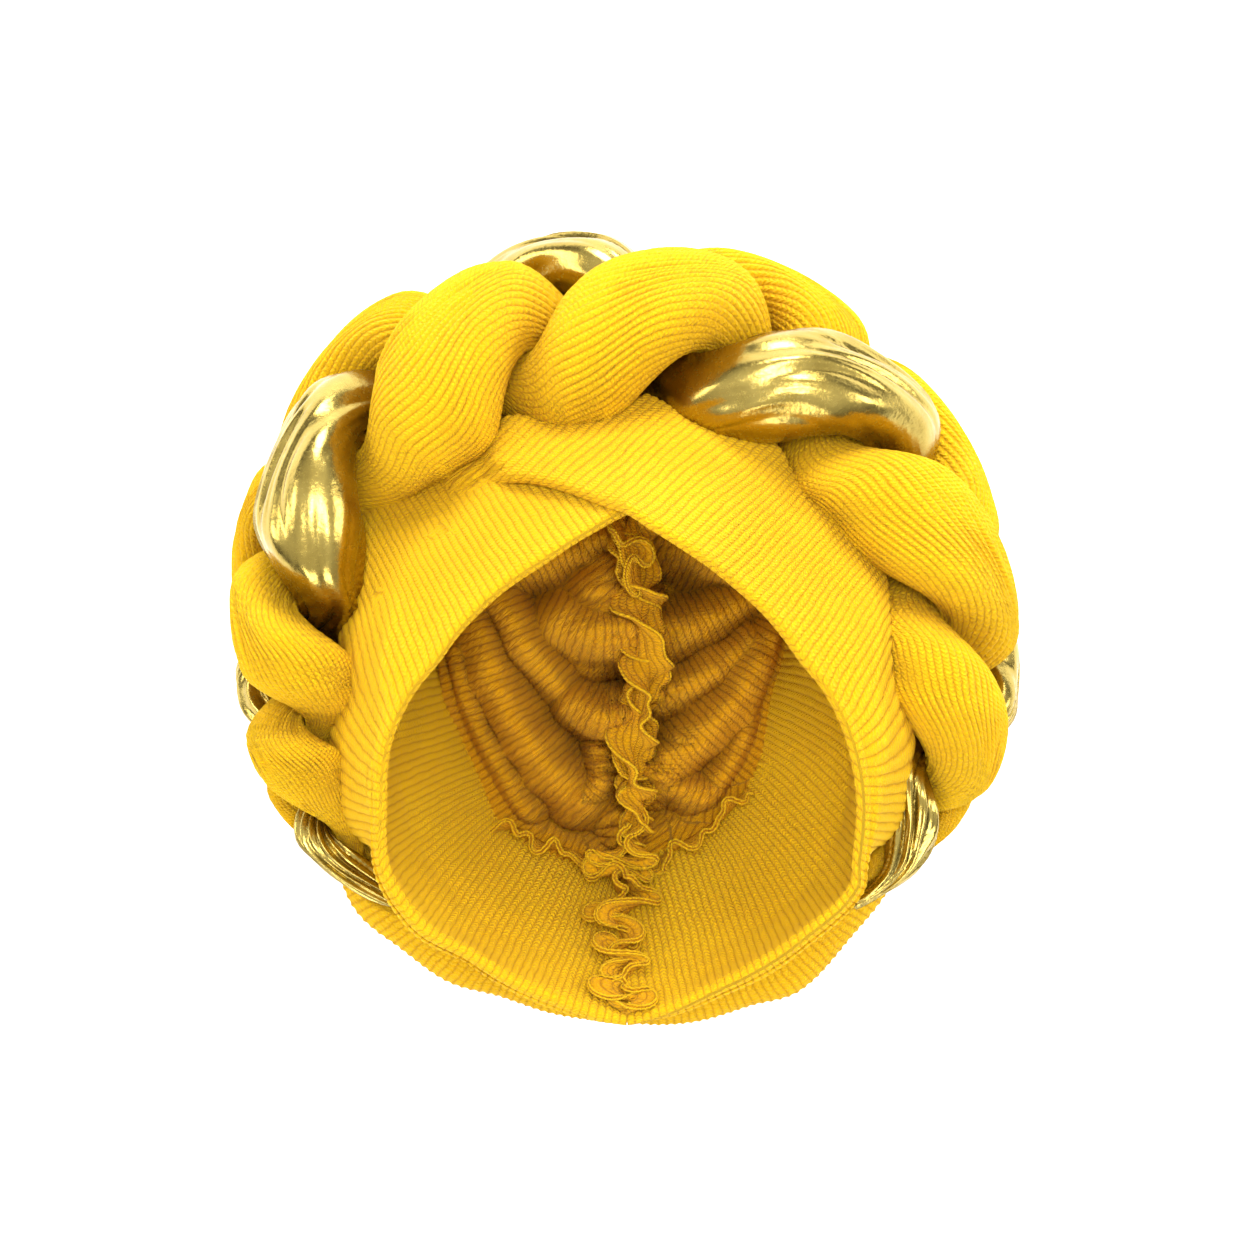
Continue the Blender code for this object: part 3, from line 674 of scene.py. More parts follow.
def room_at(room, clock, height):
    """Radius that is free of the plait at clock angles and heights."""
    column = np.clip(np.asarray(clock) / 2.0 + 90.0, 0.0, 180.0)
    row = np.clip(np.asarray(height) / 4.0, 0.0, 22.99)
    column, row = np.broadcast_arrays(column, row)
    c = np.minimum(column.astype(int), 179)
    r = row.astype(int)
    s = column - c
    t = row - r
    near = room[c, r] * (1.0 - t) + room[c, r + 1] * t
    far = room[c + 1, r] * (1.0 - t) + room[c + 1, r + 1] * t
    return near * (1.0 - s) + far * s


def spaced(count, power):
    """Shares from 0 to 1, closer together at the start."""
    return np.linspace(0.0, 1.0, count) ** power


def band_loop(clock, crease, top, offset, room):
    """Closed section of a band: outer layer, rolled fold, inner layer and its long facing."""
    knots = band_knots(clock)
    shares = top + (1.0 - top) * spaced(24, 1.3)
    line = walk(knots, shares)
    side = normals_of(line)
    lift = np.array([0.0, offset])
    inner = line - side * 0.5 * BAND_THICK + lift
    brim = line[0] + side[0] * 0.5 * BAND_THICK + lift
    fold_r = max(float(at(crease, "radius", clock)), brim[0] + 1.2)
    fold_z = knots[0][1] + 3.0 - float(at(crease, "drop", clock)) + offset
    fold_z = min(fold_z, brim[1] - 0.5)
    foot = knots[-1]
    flare = float(ease((118.0 - abs(clock)) / 22.0))
    steps = np.linspace(0.0, 1.0, 24)
    down_z = fold_z + (foot[1] - 1.0 - fold_z) * steps
    plain_r = fold_r + (foot[0] + 2.5 - fold_r) * steps
    slope = 0.5 + 0.35 * float(ease((62.0 - abs(clock)) / 20.0))
    wide_r = fold_r + slope * (fold_z - down_z)
    down_r = plain_r + (np.maximum(wide_r, plain_r) - plain_r) * flare
    upper = walk([tuple(brim), (0.5 * (brim[0] + fold_r), 0.5 * (brim[1] + fold_z) + 0.8),
                  (fold_r, fold_z)], np.linspace(0.0, 1.0, 32))
    outer = np.vstack([upper, np.stack([down_r, down_z], axis=-1)[1:]])
    outer[:, 0] = np.minimum(outer[:, 0], room_at(room, clock, outer[:, 1]) + 1.8)
    ahead = np.array([side[0, 1], -side[0, 0]])
    middle = line[0] + lift
    turns = np.linspace(0.0, math.pi, 9)[1:-1]
    roll = [middle + side[0] * (0.5 * BAND_THICK * math.cos(turn))
            - ahead * (0.5 * BAND_THICK * math.sin(turn)) for turn in turns]
    end = (float(at(FACING, "radius", clock)), float(at(FACING, "height", clock)) + offset)
    start = inner[-1]
    reach = math.hypot(end[0] - start[0], end[1] - start[1])
    sag = np.array([end[0] - start[0], end[1] - start[1]]) / max(reach, 1e-6)
    face = walk([tuple(start), tuple(start + sag * reach * 0.5 - np.array([0.0, 1.5])), end],
                np.linspace(0.0, 1.0, 40))
    under = (face - np.array([0.0, FACING_THICK]))[::-1][::6]
    loop = np.vstack([outer[::-1], roll, inner, face[1:], under])
    hops = np.hypot(*np.diff(loop, axis=0).T)
    run = np.concatenate([[0.0], np.cumsum(hops)])
    run = run - run[len(outer) + 3]
    layer = np.zeros(len(loop))
    layer[:len(outer)] = 1.0
    layer[len(outer):len(outer) + 3] = 1.0
    return loop, run, layer


def rib_count(points, brim, clocks, turns, name):
    """Number of the rib at every point of a band, its ribs lying as the table says."""
    edge = points[:, brim, :2]
    ahead = np.gradient(edge, axis=0)
    ahead = unit(ahead)
    away = np.stack([-ahead[:, 1], ahead[:, 0]], axis=-1)
    angle = np.radians(at(turns, name, np.array(clocks)))
    lie = np.stack([np.cos(angle), np.sin(angle)], axis=-1)
    lie = lie * np.sign((lie * away).sum(-1, keepdims=True) + 1e-9)
    over = (lie * away).sum(-1, keepdims=True)
    slope = (ahead * over - away * (lie * ahead).sum(-1, keepdims=True)) / RIB_PITCH
    hop = np.diff(edge, axis=0)
    count = np.concatenate([[0.0], np.cumsum((hop * 0.5 * (slope[1:] + slope[:-1])).sum(-1))])
    offset = points[:, :, :2] - edge[:, None, :]
    return count[:, None] + (offset * slope[:, None, :]).sum(-1)


def from_ends(count):
    """Steps of every station from the nearer end."""
    return np.minimum(np.arange(count), np.arange(count)[::-1])


def band_piece(name, clocks, crease, turns, tops, offsets, room):
    """A folded band with ribs across it, and the soft dents of cloth folded by hand."""
    made = [band_loop(clock, crease, top, offset, room)
            for clock, top, offset in zip(clocks, tops, offsets)]
    loops = np.array([m[0] for m in made])
    runs = np.array([m[1] for m in made])
    layer = made[0][2][None, :]
    for _ in range(6):
        loops = smooth_rows(loops, 1, 0)
    angle = np.radians(np.array(clocks))[:, None]
    points = about_bag(loops[..., 0], loops[..., 1], angle)
    brim = int(layer.sum())
    outer = rib_count(points, brim, clocks, turns, "outer")
    inner = rib_count(points, brim, clocks, turns, "inner")
    across = np.where(layer > 0.5, outer, inner)
    across = across + 0.16 * ripple(points[..., 0] * 0.11, points[..., 1] * 0.11, 6.0)
    rib = np.abs(np.sin(math.pi * across)) ** 0.6
    ahead_a = np.gradient(points, axis=0)
    ahead_b = np.roll(points, -1, axis=1) - np.roll(points, 1, axis=1)
    face = unit(np.cross(ahead_a, ahead_b))
    centre = points.mean(axis=1, keepdims=True)
    if ((points - centre) * face).sum() < 0.0:
        face = -face
    soft = ripple(points[..., 0] * 0.09, points[..., 1] * 0.09, 4.0)
    swell = 0.75 * (rib - 0.7) + 0.6 * soft
    near_fold = 1.0 - 0.95 * np.exp(-((runs / 6.0) ** 2))
    swell = swell * near_fold * ease(from_ends(len(clocks)) / 4.0)[:, None]
    points = points + face * swell[..., None]
    around = np.concatenate([runs, runs[:, :1]], axis=1)
    ribs = np.concatenate([across, across[:, :1]], axis=1)
    return cloth_body(name, points, around, ribs)


def lap_tops(clocks, edge):
    """Share of the profile at which a lapped band has its free edge."""
    tops = []
    shares = np.linspace(0.0, 0.8, 240)
    for clock in clocks:
        line = walk(band_knots(clock), shares)
        wanted = float(at(edge, "radius", clock)) + 0.45 * BAND_THICK
        past = np.nonzero(line[:, 0] >= wanted)[0]
        tops.append(float(shares[past[0]]) if len(past) else 0.8)
    soft = smooth_rows(np.array(tops)[:, None], 5, 0)[:, 0]
    return list(np.where(from_ends(len(tops)) > 4, soft, tops))


def even_clocks(first, last, count):
    """Clock angles from first to last at even steps."""
    return [float(clock) for clock in np.linspace(first, last, count)]


room = room_beside_plait()
left_clocks = (even_clocks(-179.89, 0.0, BAND_STATIONS)
               + even_clocks(0.4, 13.5, LEFT_LAP_STATIONS))
left_tops = [0.0] * BAND_STATIONS + lap_tops(left_clocks[BAND_STATIONS:], LAP_EDGE_LEFT)
left_band = band_piece("left_brim_band", left_clocks, CREASE_LEFT, RIB_TURN_LEFT, left_tops,
                       [0.0] * len(left_clocks), room)
right_clocks = (even_clocks(-38.0, -0.3, RIGHT_LAP_STATIONS)
                + even_clocks(0.0, 179.89, BAND_STATIONS))
right_offsets = [8.8 * float(ease((34.0 - clock) / 19.0) * ease((clock + 40.0) / 12.0))
                 - 4.0 * float(ease((-31.0 - clock) / 6.0)) for clock in right_clocks]
right_tops = (lap_tops(right_clocks[:RIGHT_LAP_STATIONS], LAP_EDGE_RIGHT)
              + [0.0] * BAND_STATIONS)
right_band = band_piece("right_brim_band", right_clocks, CREASE_RIGHT, RIB_TURN_RIGHT,
                        right_tops, right_offsets, room)
for band, body_name in ((left_band, "band_left"), (right_band, "band_right")):
    band.data.materials.append(rib_knit)
    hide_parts(body_name)
    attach(band, "root")


# The bag. A wide tube of ribbed knit gathered on a seam that runs under the crown of the head.
# It is sewn to the feet of the two bands. Lying empty, it sags to the surface, bulges out behind
# the nape, and its floor is thrown into deep folds that lean on the gathered seam.
CROWN_THICK = 2.0
FOLD_RIB_PITCH = 2.5
RIBS_ROUND_BAG = 208
# Each fold of the floor: its crest from above, the heights along it, its half width.
FOLDS = table("line heights half_width", [
    ([(-53, 9), (-42.1, -25.9), (-29.4, -46.2), (-15.9, -58.7)], (30, 36, 34, 27), 9.5),
    ([(-15.9, -58.7), (-9.8, -53.2), (-10.3, -42.3)], (27, 30, 24), 5.5),
    ([(-59, -10.8), (-50.7, -39), (-35.3, -62)], (26, 24, 18), 8.5),
    ([(-21, 0), (-12, -4), (0, -3)], (40, 47, 42), 12),
    ([(-10.3, 9.9), (-4, 2)], (43, 40), 13),
    ([(-41.5, 7.6), (-33.7, -9.5), (-25, -19)], (38, 40, 30), 8.5),
    ([(-17, -27), (-10, -31), (-2, -31)], (34, 41, 36), 8.5),
    ([(47.8, -2.6), (35.6, -24.3), (22.5, -37.4), (9, -49.2)], (34, 38, 36, 30), 9),
    ([(39.2, -6.5), (24.1, -18.4), (9, -24.3)], (30, 34, 30), 7.5),
    ([(44.1, 10.9), (25.7, 0.7), (9, -6.2)], (28, 30, 32), 9.5),
    ([(9, -50.9), (22.5, -57.1), (36, -58.4)], (26, 24, 16), 7),
    ([(47.8, -20.6), (38.2, -42.3), (27.4, -54.4)], (24, 26, 18), 7.5),
    ([(-38.6, 14.2), (-23.5, 22), (-9, 27)], (34, 36, 34), 8.5),
    ([(38.3, 14.2), (22.2, 22), (9, 27)], (32, 34, 32), 8.5),
    ([(-5, -66), (0, -74)], (16, 14), 9),
])
# Stations of a strip: its place, its width, the length of a wave and its lean.
SEAM = table("place width pitch lean", [
    ((3, -54, 30), 4, 9, 20),
    ((1.8, -62, 27), 8, 10, -20),
    ((0.6, -70.8, 22), 10, 12, 15),
    ((-1.2, -79.9, 18), 12, 13, 10),
    ((-1.8, -92, 20), 12, 13, -15),
    ((-1.8, -104.4, 28), 11, 12.5, 15),
    ((-1.8, -114.4, 38.5), 8, 10, 10),
    ((-1.6, -121.5, 46), 5, 7, 10),
    ((-1.6, -127, 52), 3, 6, 0),
])
SEAM_KNOT = table("place width pitch lean", [
    ((-14, 44, 56), 5, 10, -20),
    ((-10, 38, 55), 7, 11, 20),
    ((-3, 30, 53), 8, 12, -20),
    ((0, 20, 51), 8, 12, 20),
    ((2.4, 9, 49), 6, 11, 10),
])
SEAM_TWIST = table("place width pitch", [
    ((3, 42, 54), 9, 15),
    ((1, 30, 53), 13, 18),
    ((0, 18, 52), 16, 21),
    ((2, 6.8, 51), 18, 24),
    ((5, -4.6, 49), 18, 25),
    ((4.5, -16, 46), 18, 24),
    ((2.6, -27.5, 44), 17, 23),
    ((0, -38.9, 41), 16, 21),
    ((1.5, -47.2, 38), 15, 19),
    ((2, -58.8, 33), 13, 17),
    ((2.3, -72, 25), 9, 14),
])
SEAM_TWIST_UNDER = table("place width pitch", [
    ((-6, 40, 53), 8, 14),
    ((-2, 28, 50), 12, 17),
    ((2.5, 18, 48), 14, 20),
    ((0.5, 6.8, 46), 15, 22),
    ((3, -4.6, 44), 16, 22),
    ((6, -16, 41), 15, 21),
    ((1.6, -27.5, 39), 14, 20),
    ((2.4, -38.9, 36), 13, 19),
    ((-1, -47.2, 33), 12, 17),
    ((3.5, -58.8, 28), 11, 15),
    ((0.3, -72, 23), 9, 13),
])
SEAM_UNDER = table("place width pitch lean", [
    ((-1.7, -64, 25), 8, 10, -10),
    ((-3.7, -72.8, 21), 9, 12, 15),
    ((-4.5, -82, 18), 10, 14, -15),
    ((-3.4, -94, 21), 10, 14, 10),
    ((-3.9, -106.4, 30), 9, 12.5, -10),
    ((-3, -116.4, 40.5), 7, 9.5, 10),
    ((-2, -122.5, 47), 5, 7, 0),
    ((-1.6, -126.5, 51.5), 3, 6, 0),
])


def smooth_line(knots, count):
    """Points spread evenly along a smooth line through knots, and the share of each."""
    knots = np.array(knots, float)
    hops = np.linalg.norm(np.diff(knots, axis=0), axis=1)
    marks = np.concatenate([[0.0], np.cumsum(hops)]) / hops.sum()
    shares = np.linspace(0.0, 1.0, count)
    line = np.stack([np.interp(shares, marks, knots[:, k]) for k in range(knots.shape[1])], -1)
    reach = max(1, count // (3 * len(knots)))
    for _ in range(3):
        soft = smooth_rows(line, reach, 0)
        soft[0] = line[0]
        soft[-1] = line[-1]
        line = soft
    return line, shares


def fold_floor(x, y):
    """Height of the crumpled floor over the flat one, and the rib that lies at each point."""
    total = np.zeros_like(x)
    crest = np.zeros_like(x)
    ribs = (x * math.sin(math.radians(60.0)) - y * math.cos(math.radians(60.0)))
    ribs = ribs / FOLD_RIB_PITCH
    for i in range(len(FOLDS["line"])):
        line, shares = smooth_line(FOLDS["line"][i], 16)
        marks = np.linspace(0.0, 1.0, len(FOLDS["heights"][i]))
        heights = np.interp(shares, marks, FOLDS["heights"][i])
        wide = 1.36 * FOLDS["half_width"][i]
        wander = 1.0 + 0.12 * ripple(x * 0.2, y * 0.2, i + 1.0)
        best = np.full_like(x, 1e6)
        mark = np.zeros_like(x)
        tall = np.zeros_like(x)
        run = 0.0
        for k in range(len(line) - 1):
            step = line[k + 1] - line[k]
            length = float(np.hypot(*step))
            s = ((x - line[k][0]) * step[0] + (y - line[k][1]) * step[1]) / length ** 2
            held = np.clip(s, 0.0, 1.0)
            off = np.hypot(x - line[k][0] - held * step[0], y - line[k][1] - held * step[1])
            closer = off < best
            best = np.where(closer, off, best)
            mark = np.where(closer, run + s * length, mark)
            tall = np.where(closer, heights[k] + held * (heights[k + 1] - heights[k]), tall)
            run += length
        swell = 0.5 + 0.5 * np.cos(math.pi * np.minimum(best * wander / wide, 1.0))
        fold = 1.12 * tall * swell ** 0.5
        ribs = np.where(fold > crest, mark / FOLD_RIB_PITCH + 7.3 * i, ribs)
        crest = np.maximum(crest, fold)
        total = (total ** 7 + fold ** 7) ** (1.0 / 7.0)
    seam, shares = smooth_line(SEAM_TWIST["place"] + SEAM["place"][3:], 160)
    off = np.full_like(x, 1e6)
    mark = np.zeros_like(x)
    for spot, share in zip(seam, shares):
        here = np.hypot(x - spot[0], y - spot[1])
        mark = np.where(here < off, share * 190.0, mark)
        off = np.minimum(off, here)
    gather = np.cos(2.0 * math.pi * (mark / 6.2 + 0.5 * ripple(x * 0.12, y * 0.12, 9.0)))
    total = total + 2.4 * gather * np.exp(-((off / 14.0) ** 2)) * ease(total / 8.0)
    crumple = ripple(x * 0.36, y * 0.36, 2.0)
    return np.maximum(total + 0.8 * crumple * ease(total / 6.0), 0.0), ribs


def bag_line(clock, count):
    """The bag's wall in its radial plane, from the bands' feet down to the flat floor."""
    foot = walk(band_knots(clock), np.array([0.97, 1.0]))
    ahead = (foot[1] - foot[0]) / np.linalg.norm(foot[1] - foot[0])
    knots = [
        tuple(foot[1] + ahead * 2.6),
        tuple(foot[1] + ahead * 8.0),
        (float(at(BODY, "wall_r", clock)), float(at(BODY, "wall_z", clock))),
        (float(at(BODY, "corner_r", clock)), 5.0),
        (float(at(BODY, "flat_r", clock)), 0.5 * CROWN_THICK),
    ]
    return walk(knots, np.linspace(0.0, 1.0, count))


def thicken(piece, thick):
    """The thickness of a cloth in mm, by a solidify modifier."""
    bpy.context.view_layer.objects.active = piece
    piece.select_set(True)
    cloth = piece.modifiers.new("cloth", "SOLIDIFY")
    cloth.thickness = thick * MM
    cloth.offset = 0.0
    bpy.ops.object.modifier_apply(modifier="cloth")
    piece.select_set(False)


def ribbed_sheet(name, points, runs, ribs, depth):
    """A single cloth with rounded ribs."""
    rib = np.abs(np.sin(math.pi * ribs[:, :-1])) ** 0.7
    face = unit(np.cross(np.gradient(points, axis=0),
                         np.roll(points, -1, axis=1) - np.roll(points, 1, axis=1)))
    points = points - face * (depth * (rib - 0.6))[..., None]
    piece = cloth_body(name, points, runs, ribs, caps=False)
    thicken(piece, CROWN_THICK)
    return piece


def wall_piece(spokes, rings):
    """The bag's wall, its ribs running down it."""
    clocks = np.linspace(-180.0, 180.0, spokes + 1)[:-1]
    wall = np.array([bag_line(clock, rings) for clock in clocks]).transpose(1, 0, 2)
    angle = np.radians(clocks)[None, :]
    points = about_bag(wall[..., 0], wall[..., 1], angle)
    soft = ripple(points[..., 0] * 0.08, points[..., 1] * 0.08, 7.0)
    points[..., 0] += 0.8 * soft * np.sin(angle)
    points[..., 1] += 0.8 * soft * np.cos(angle)
    hops = np.linalg.norm(np.diff(points, axis=0), axis=-1).mean(axis=1)
    run = np.concatenate([[0.0], np.cumsum(hops)])[:, None] + np.zeros((1, spokes + 1))
    ribs = np.linspace(0.0, RIBS_ROUND_BAG, spokes + 1)[None, :] + np.zeros((rings, 1))
    return ribbed_sheet("gathered_bag", points, run, ribs, -0.5)


def floor_piece(spokes, rings):
    """The bag's crumpled floor, with ribs across every fold."""
    clocks = np.linspace(-180.0, 180.0, spokes + 1)[:-1]
    angle = np.radians(clocks)[None, :]
    flat_r = at(BODY, "flat_r", clocks)[None, :] - 0.4
    shares = np.linspace(1.0, 0.012, rings)[:, None]
    floor_r = shares * flat_r
    x = BAG_CENTRE[0] + floor_r * np.sin(angle)
    y = BAG_CENTRE[1] + floor_r * np.cos(angle)
    tall, ribs = fold_floor(x, y)
    face_r = at(FACING, "radius", clocks)[None, :]
    face_z = at(FACING, "height", clocks)[None, :] - 1.2
    clear = ease((face_r + 1.0 - floor_r) / 9.0) * ease((1.0 - shares) * 6.0)
    bank = face_z * ease((floor_r - face_r + 15.0) / 12.0) * ease((flat_r - floor_r) / 6.0)
    z = 0.5 * CROWN_THICK + np.maximum(tall * clear, bank)
    ribs = np.concatenate([ribs, ribs[:, :1]], axis=1)
    runs = np.concatenate([x - y, x[:, :1] - y[:, :1]], axis=1)
    return ribbed_sheet("bag_floor", np.stack([x, y, z], axis=-1), runs, ribs, 0.5)


bag = wall_piece(832, 20)
bag.data.materials.append(rib_knit)
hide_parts("crown")
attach(bag, "root")
bag_floor = floor_piece(440, 84)
# Painted shade: the floor inside the hollow gets a darker, more orange copy of the yellow knit,
# with deeper and darker grooves, for the shade that falls there.
painted_shade_knit = knit_material("painted_shade_rib_knit", 1.2, "#DA9404", "#E6A607", "#945400")
bag_floor.data.materials.append(painted_shade_knit)
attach(bag_floor, "root")


# The gathered seam that runs from the forehead to the nape inside the bag, and the two short
# seams that join the bands' facings to it. Each is a double edge of knit trimmed by a machine
# that wraps it in loops of thread. The thread stretches the edge, so it curls and doubles back.
SEAM_THICK = 1.4
CORD_SIDES = 6
TWIST_STATIONS = 480
TWIST_LAYERS = 13
TWIST_THREAD = 0.5
RUFFLE_LAYERS = 6
RUFFLE_THREAD = 0.36


def seam_line(rows, columns, count):
    """Even stations on a seam, with the step and the headings ahead, aside and above."""
    knots = [(*place, *sizes) for place, *sizes in
             zip(rows["place"], *(rows[column] for column in columns.split()))]
    line, _ = smooth_line(knots, count)
    ahead = np.gradient(line[:, :3], axis=0)
    hop = np.linalg.norm(ahead, axis=1)
    ahead = ahead / hop[:, None]
    aside = np.stack([ahead[:, 1], -ahead[:, 0], 0.0 * hop], axis=-1)
    aside = aside / np.linalg.norm(aside, axis=1, keepdims=True)
    return line, hop, ahead, aside, np.cross(aside, ahead)


def edge_thread(name, edge, length, thread):
    """Loops of thread wrapped round an edge: a thin uneven cord along it."""
    run = unit(np.gradient(edge, axis=0))
    first = np.cross(run, np.array([0.0, 0.0, 1.0]) + 0.01)
    first = first / np.linalg.norm(first, axis=1, keepdims=True)
    second = np.cross(run, first)
    spin = 2.0 * math.pi * np.arange(CORD_SIDES) / CORD_SIDES
    loops = length[:, None]
    fat = thread * (1.0 + 0.2 * np.sin(2.0 * math.pi * loops / 1.5 + spin[None, :]))
    tube = (edge[:, None, :] + first[:, None, :] * (fat * np.cos(spin))[..., None]
            + second[:, None, :] * (fat * np.sin(spin))[..., None])
    around = np.linspace(0.0, 1.0, CORD_SIDES + 1)[None, :] + np.zeros((len(edge), 1))
    return cloth_body(name, tube, loops + np.zeros((1, CORD_SIDES + 1)), around)


def twisted_strip(name, rows, start):
    """The middle of the ruffled edge, twisted like a streamer, and its two wrapped edges."""
    count, layers = TWIST_STATIONS, TWIST_LAYERS
    line, hop, _, aside, above = seam_line(rows, "width pitch", count)
    turn = np.cumsum(math.pi * hop / line[:, 4])
    turn = start + turn + 0.5 * np.sin(2.0 * turn + 0.5) + 0.5 * np.sin(0.7 * turn + 3.0 * start)
    length = np.cumsum(hop) * 1.6
    across = np.linspace(-0.5, 0.5, layers)
    grid = np.zeros((count, layers, 3))
    for k in range(layers):
        rim = abs(2.0 * across[k]) ** 2
        wave = length / 2.1 + 1.4 * np.sin(length / 9.0 + start) + 3.0 * across[k]
        flutter = 1.0 + 0.06 * rim * np.sin(0.7 * wave)
        cup = 2.4 * (rim - 0.4) + 0.8 * rim * np.sin(wave) + 0.6 * math.sin(16.0 * across[k])
        far = across[k] * line[:, 3] * flutter
        wide = far * np.cos(turn) - cup * np.sin(turn)
        tall = far * np.sin(turn) + cup * np.cos(turn)
        grid[:, k] = line[:, :3] + aside * wide[:, None] + above * (0.75 * tall)[:, None]
    ribs = np.linspace(0.0, 7.0, layers)[None, :] + np.zeros((count, 1))
    strip = cloth_body(name, grid, length[:, None] + np.zeros((1, layers)), ribs,
                       wrap=False, caps=False)
    thicken(strip, SEAM_THICK)
    cords = [edge_thread(name + "_edge_" + side, grid[:, k], length, TWIST_THREAD)
             for side, k in (("left", 0), ("right", -1))]
    return strip, cords


def ruffle(name, rows, count, seed, curl):
    """A ruffled strip standing on a seam line, and the thread wrapped round its free edge."""
    layers = RUFFLE_LAYERS
    rows = {**rows, "lean": [math.radians(lean) for lean in rows["lean"]]}
    line, hop, ahead, aside, above = seam_line(rows, "width pitch lean", count)
    phase = np.cumsum(2.0 * math.pi * hop / line[:, 4])
    phase = phase + 1.3 * np.sin(phase * 0.29 + 1.0 + seed) + 0.8 * np.sin(phase * 0.61 + seed)
    phase = phase + seed
    grid = np.zeros((count, layers, 3))
    length = np.zeros((count, layers))
    for k in range(layers):
        up = k / (layers - 1.0)
        swing = curl * up ** 0.8 * (1.0 + 0.2 * np.sin(phase * 0.37 + 2.0 + seed)
                                    + 0.15 * np.sin(phase * 0.83 + seed))
        turn = swing * np.sin(phase)
        stretch = 1.0 / np.maximum(0.24, 1.0 - swing ** 2 / 4.0 + swing ** 4 / 64.0)
        step = hop * stretch
        forward = np.cumsum(step * np.cos(turn) - hop)
        sideways = np.cumsum(step * np.sin(turn))
        reach = max(3, count // 9)
        forward = forward - smooth_rows(forward[:, None], reach, 0)[:, 0]
        sideways = sideways - smooth_rows(sideways[:, None], reach, 0)[:, 0]
        lean = line[:, 5] * up + 0.5 * up * np.sin(phase * 0.45 + 2.0 * seed)
        rise = line[:, 3] * up * (1.0 + 0.25 * np.sin(phase * 0.71 + seed))
        tall = rise * np.cos(lean) + 0.15 * sideways
        wide = rise * np.sin(lean) + sideways * np.cos(0.5 * lean)
        grid[:, k] = (line[:, :3] + ahead * forward[:, None] + aside * wide[:, None]
                      + above * tall[:, None])
        length[:, k] = np.cumsum(step)
    ribs = np.linspace(0.0, 5.0, layers)[None, :] + np.zeros((count, 1))
    middle = length[:, layers // 2][:, None] + np.zeros((1, layers))
    strip = cloth_body(name, grid, middle, ribs, wrap=False, caps=False)
    thicken(strip, SEAM_THICK)
    ahead = np.gradient(grid[:, -1], axis=0)
    aside = unit(np.cross(ahead, grid[:, -1] - grid[:, -2]))
    cords = [edge_thread(name + "_edge_" + which, grid[:, -1] + aside * far, length[:, -1],
                         RUFFLE_THREAD) for which, far in (("left", 0.6), ("right", -0.6))]
    return strip, cords


CROSS_LEFT = table("place width pitch lean", [
    ((-50, -72.9, 17), 3.5, 9, -10),
    ((-42.4, -67.8, 17), 4.5, 10, 15),
    ((-36.1, -68.8, 17), 5, 9, -15),
    ((-28.5, -74.5, 17), 5.5, 11, 10),
    ((-19.6, -75.6, 17), 6, 10, 10),
    ((-13, -80.5, 17), 6, 9, -10),
    ((-7.1, -84.5, 17), 6, 9, -10),
])
CROSS_RIGHT = table("place width pitch lean", [
    ((5.1, -82.2, 17), 6, 9, 10),
    ((15.3, -74.3, 17), 6, 10, 15),
    ((24.6, -69.3, 17), 5.5, 9, -15),
    ((32.2, -62.7, 17), 5, 10, 15),
    ((38.8, -55.1, 17.5), 3.5, 11, 10),
])
thread_knit = knit_material("yellow_edge_thread", 0.6, "#F6BC0A", "#FACB18")
# Painted shade: the seams' knit is a darker copy of the yellow knit, with darker grooves, for the
# shade of the hollow they lie in. The edge thread keeps its own lighter yellow.
seam_painted_shade_knit = knit_material("seam_edge_painted_shade_knit", 0.9, "#E8A204", "#F0B209", "#A86400")
strips = []
for name, rows, start in (("centre_seam_twist", SEAM_TWIST, 0.4),
                          ("centre_seam_twist_under", SEAM_TWIST_UNDER, 2.1)):
    strips.append((*twisted_strip(name, rows, start), "centre_seam_frill", 0.015, 0.15))
for name, rows, count, seed, curl, body_name, width, long in (
    ("centre_seam_ruffle", SEAM, 700, 0.0, 1.75, "centre_seam_frill", 0.011, 0.14),
    ("centre_seam_ruffle_under", SEAM_UNDER, 600, 2.2, 1.7, "centre_seam_frill", 0.011, 0.11),
    ("centre_seam_knot", SEAM_KNOT, 440, 4.1, 1.7, "centre_seam_frill", 0.010, 0.055),
    ("left_cross_seam", CROSS_LEFT, 400, 1.0, 0.95, "cross_seam_left", 0.010, 0.035),
    ("right_cross_seam", CROSS_RIGHT, 320, 3.0, 0.95, "cross_seam_right", 0.010, 0.03),
):
    strips.append((*ruffle(name, rows, count, seed, curl), body_name, width, long))
for strip, cords, body_name, width, long in strips:
    strip.data.materials.append(seam_painted_shade_knit)
    for cord in cords:
        cord.data.materials.append(thread_knit)
    for piece in [strip] + cords:
        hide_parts(body_name)
        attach(piece, "root")

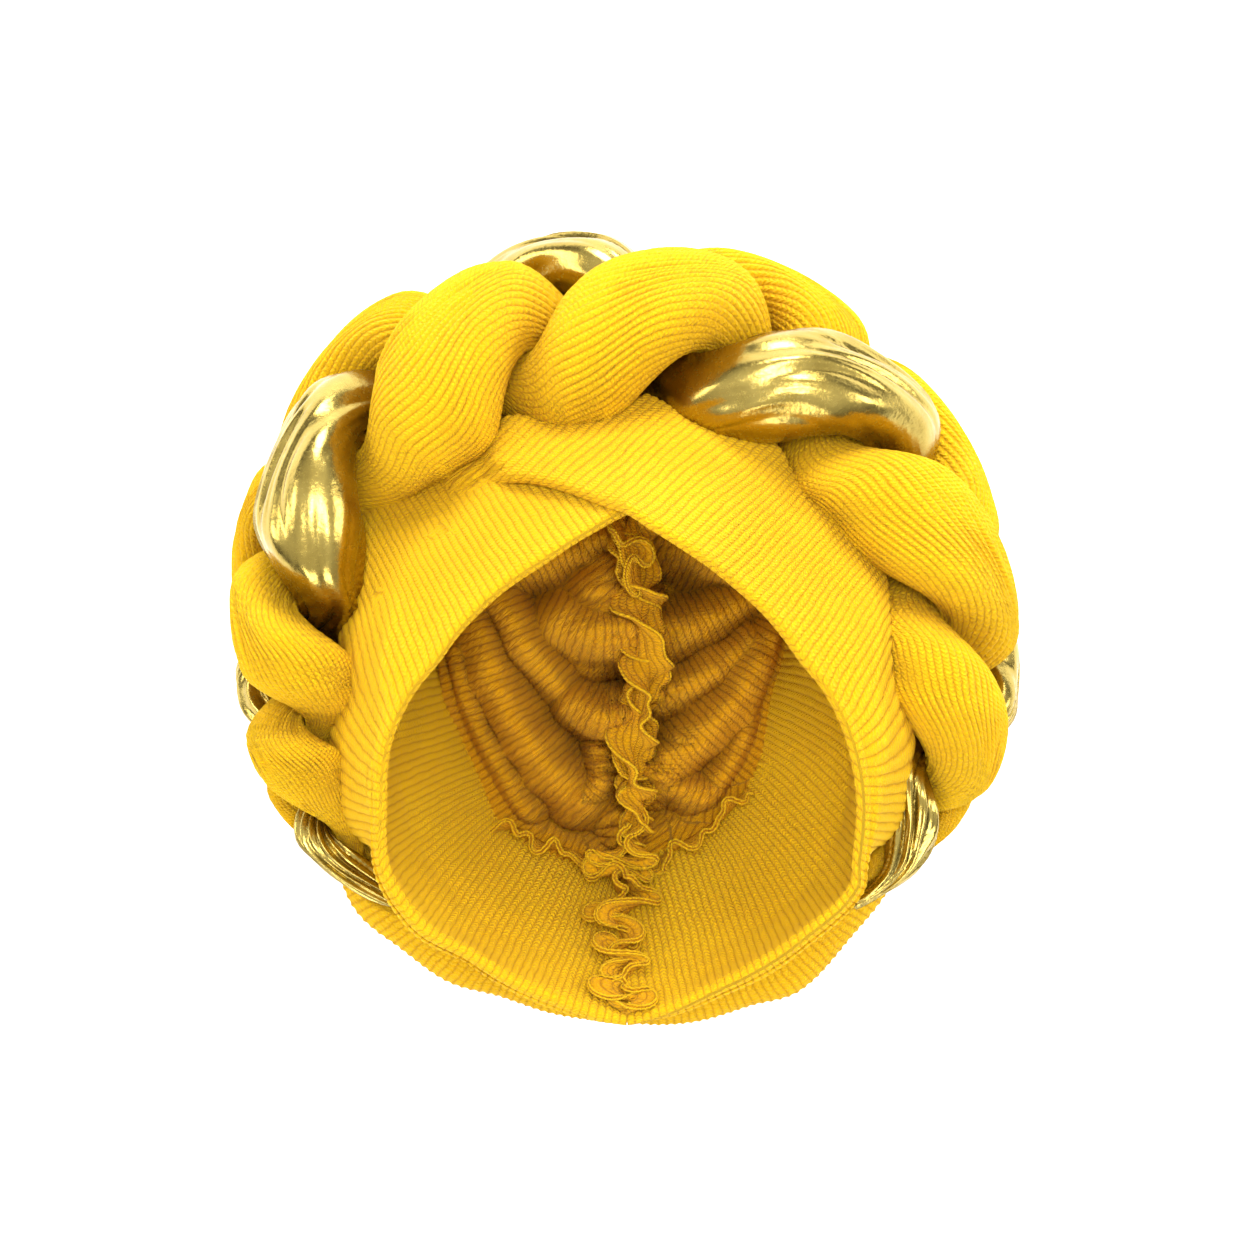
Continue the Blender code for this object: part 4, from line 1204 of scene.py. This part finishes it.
# The stage: the white paper that the wrap lies on, a room that is brighter overhead, five soft
# lamps (the low ones are kept out of the hollow by the brim), and the camera straight above.
bpy.ops.object.select_all(action="DESELECT")
bpy.ops.mesh.primitive_plane_add(size=6.0, location=(0.0, 0.0, -0.0002))
surface = bpy.context.object
surface.name = "pale_floor"
paper, _, shader = new_material("matt_white_paper")
shader.inputs["Base Color"].default_value = linear("#F7F7F7")
shader.inputs["Roughness"].default_value = 0.9
shader.inputs["Emission Color"].default_value = linear("#FFFFFF")
shader.inputs["Emission Strength"].default_value = 0.35
surface.data.materials.append(paper)

world = bpy.data.worlds.new("pale_room")
world.use_nodes = True
world.node_tree.nodes["Background"].inputs["Color"].default_value = (1.0, 1.0, 1.0, 1.0)
ray = node(world.node_tree, "ShaderNodeTexCoord")
sky = node(world.node_tree, "ShaderNodeSeparateXYZ", {}, {"Vector": ray.outputs["Generated"]})
glow = node(world.node_tree, "ShaderNodeMapRange", {"From Min": 0.1, "From Max": 0.8,
                                                    "To Min": 0.1, "To Max": 1.15},
            {"Value": sky.outputs["Z"]})
world.node_tree.links.new(glow.outputs["Result"],
                          world.node_tree.nodes["Background"].inputs["Strength"])
bpy.context.scene.world = world
for name, spot, size, power in (
    ("key_softbox", (0.1, 1.9, 0.95), 1.0, 58.0),
    ("left_softbox", (-1.6, 0.4, 0.75), 0.7, 12.0),
    ("right_softbox", (1.6, 0.2, 0.75), 0.7, 14.0),
    ("nape_softbox", (-0.4, -1.7, 0.8), 0.8, 20.0),
    ("overhead_softbox", (0.1, 0.2, 2.3), 0.8, 33.0),
):
    lamp = bpy.data.lights.new(name, "AREA")
    lamp.shape = "SQUARE"
    lamp.size = size
    lamp.energy = power
    holder = bpy.data.objects.new(name, lamp)
    holder.location = spot
    holder.rotation_euler = (Vector((0.0, 0.0, 0.04)) - Vector(spot)).to_track_quat(
        "-Z", "Y").to_euler()
    bpy.context.scene.collection.objects.link(holder)

eye = bpy.data.cameras.new("overhead")
eye.lens = 120.2
eye.sensor_width = 36.0
eye.clip_end = 20.0
camera = bpy.data.objects.new("overhead", eye)
camera.location = (0.0002, 0.0012, 1.4)
bpy.context.scene.collection.objects.link(camera)
bpy.context.scene.camera = camera
bpy.context.scene.view_settings.view_transform = "Standard"
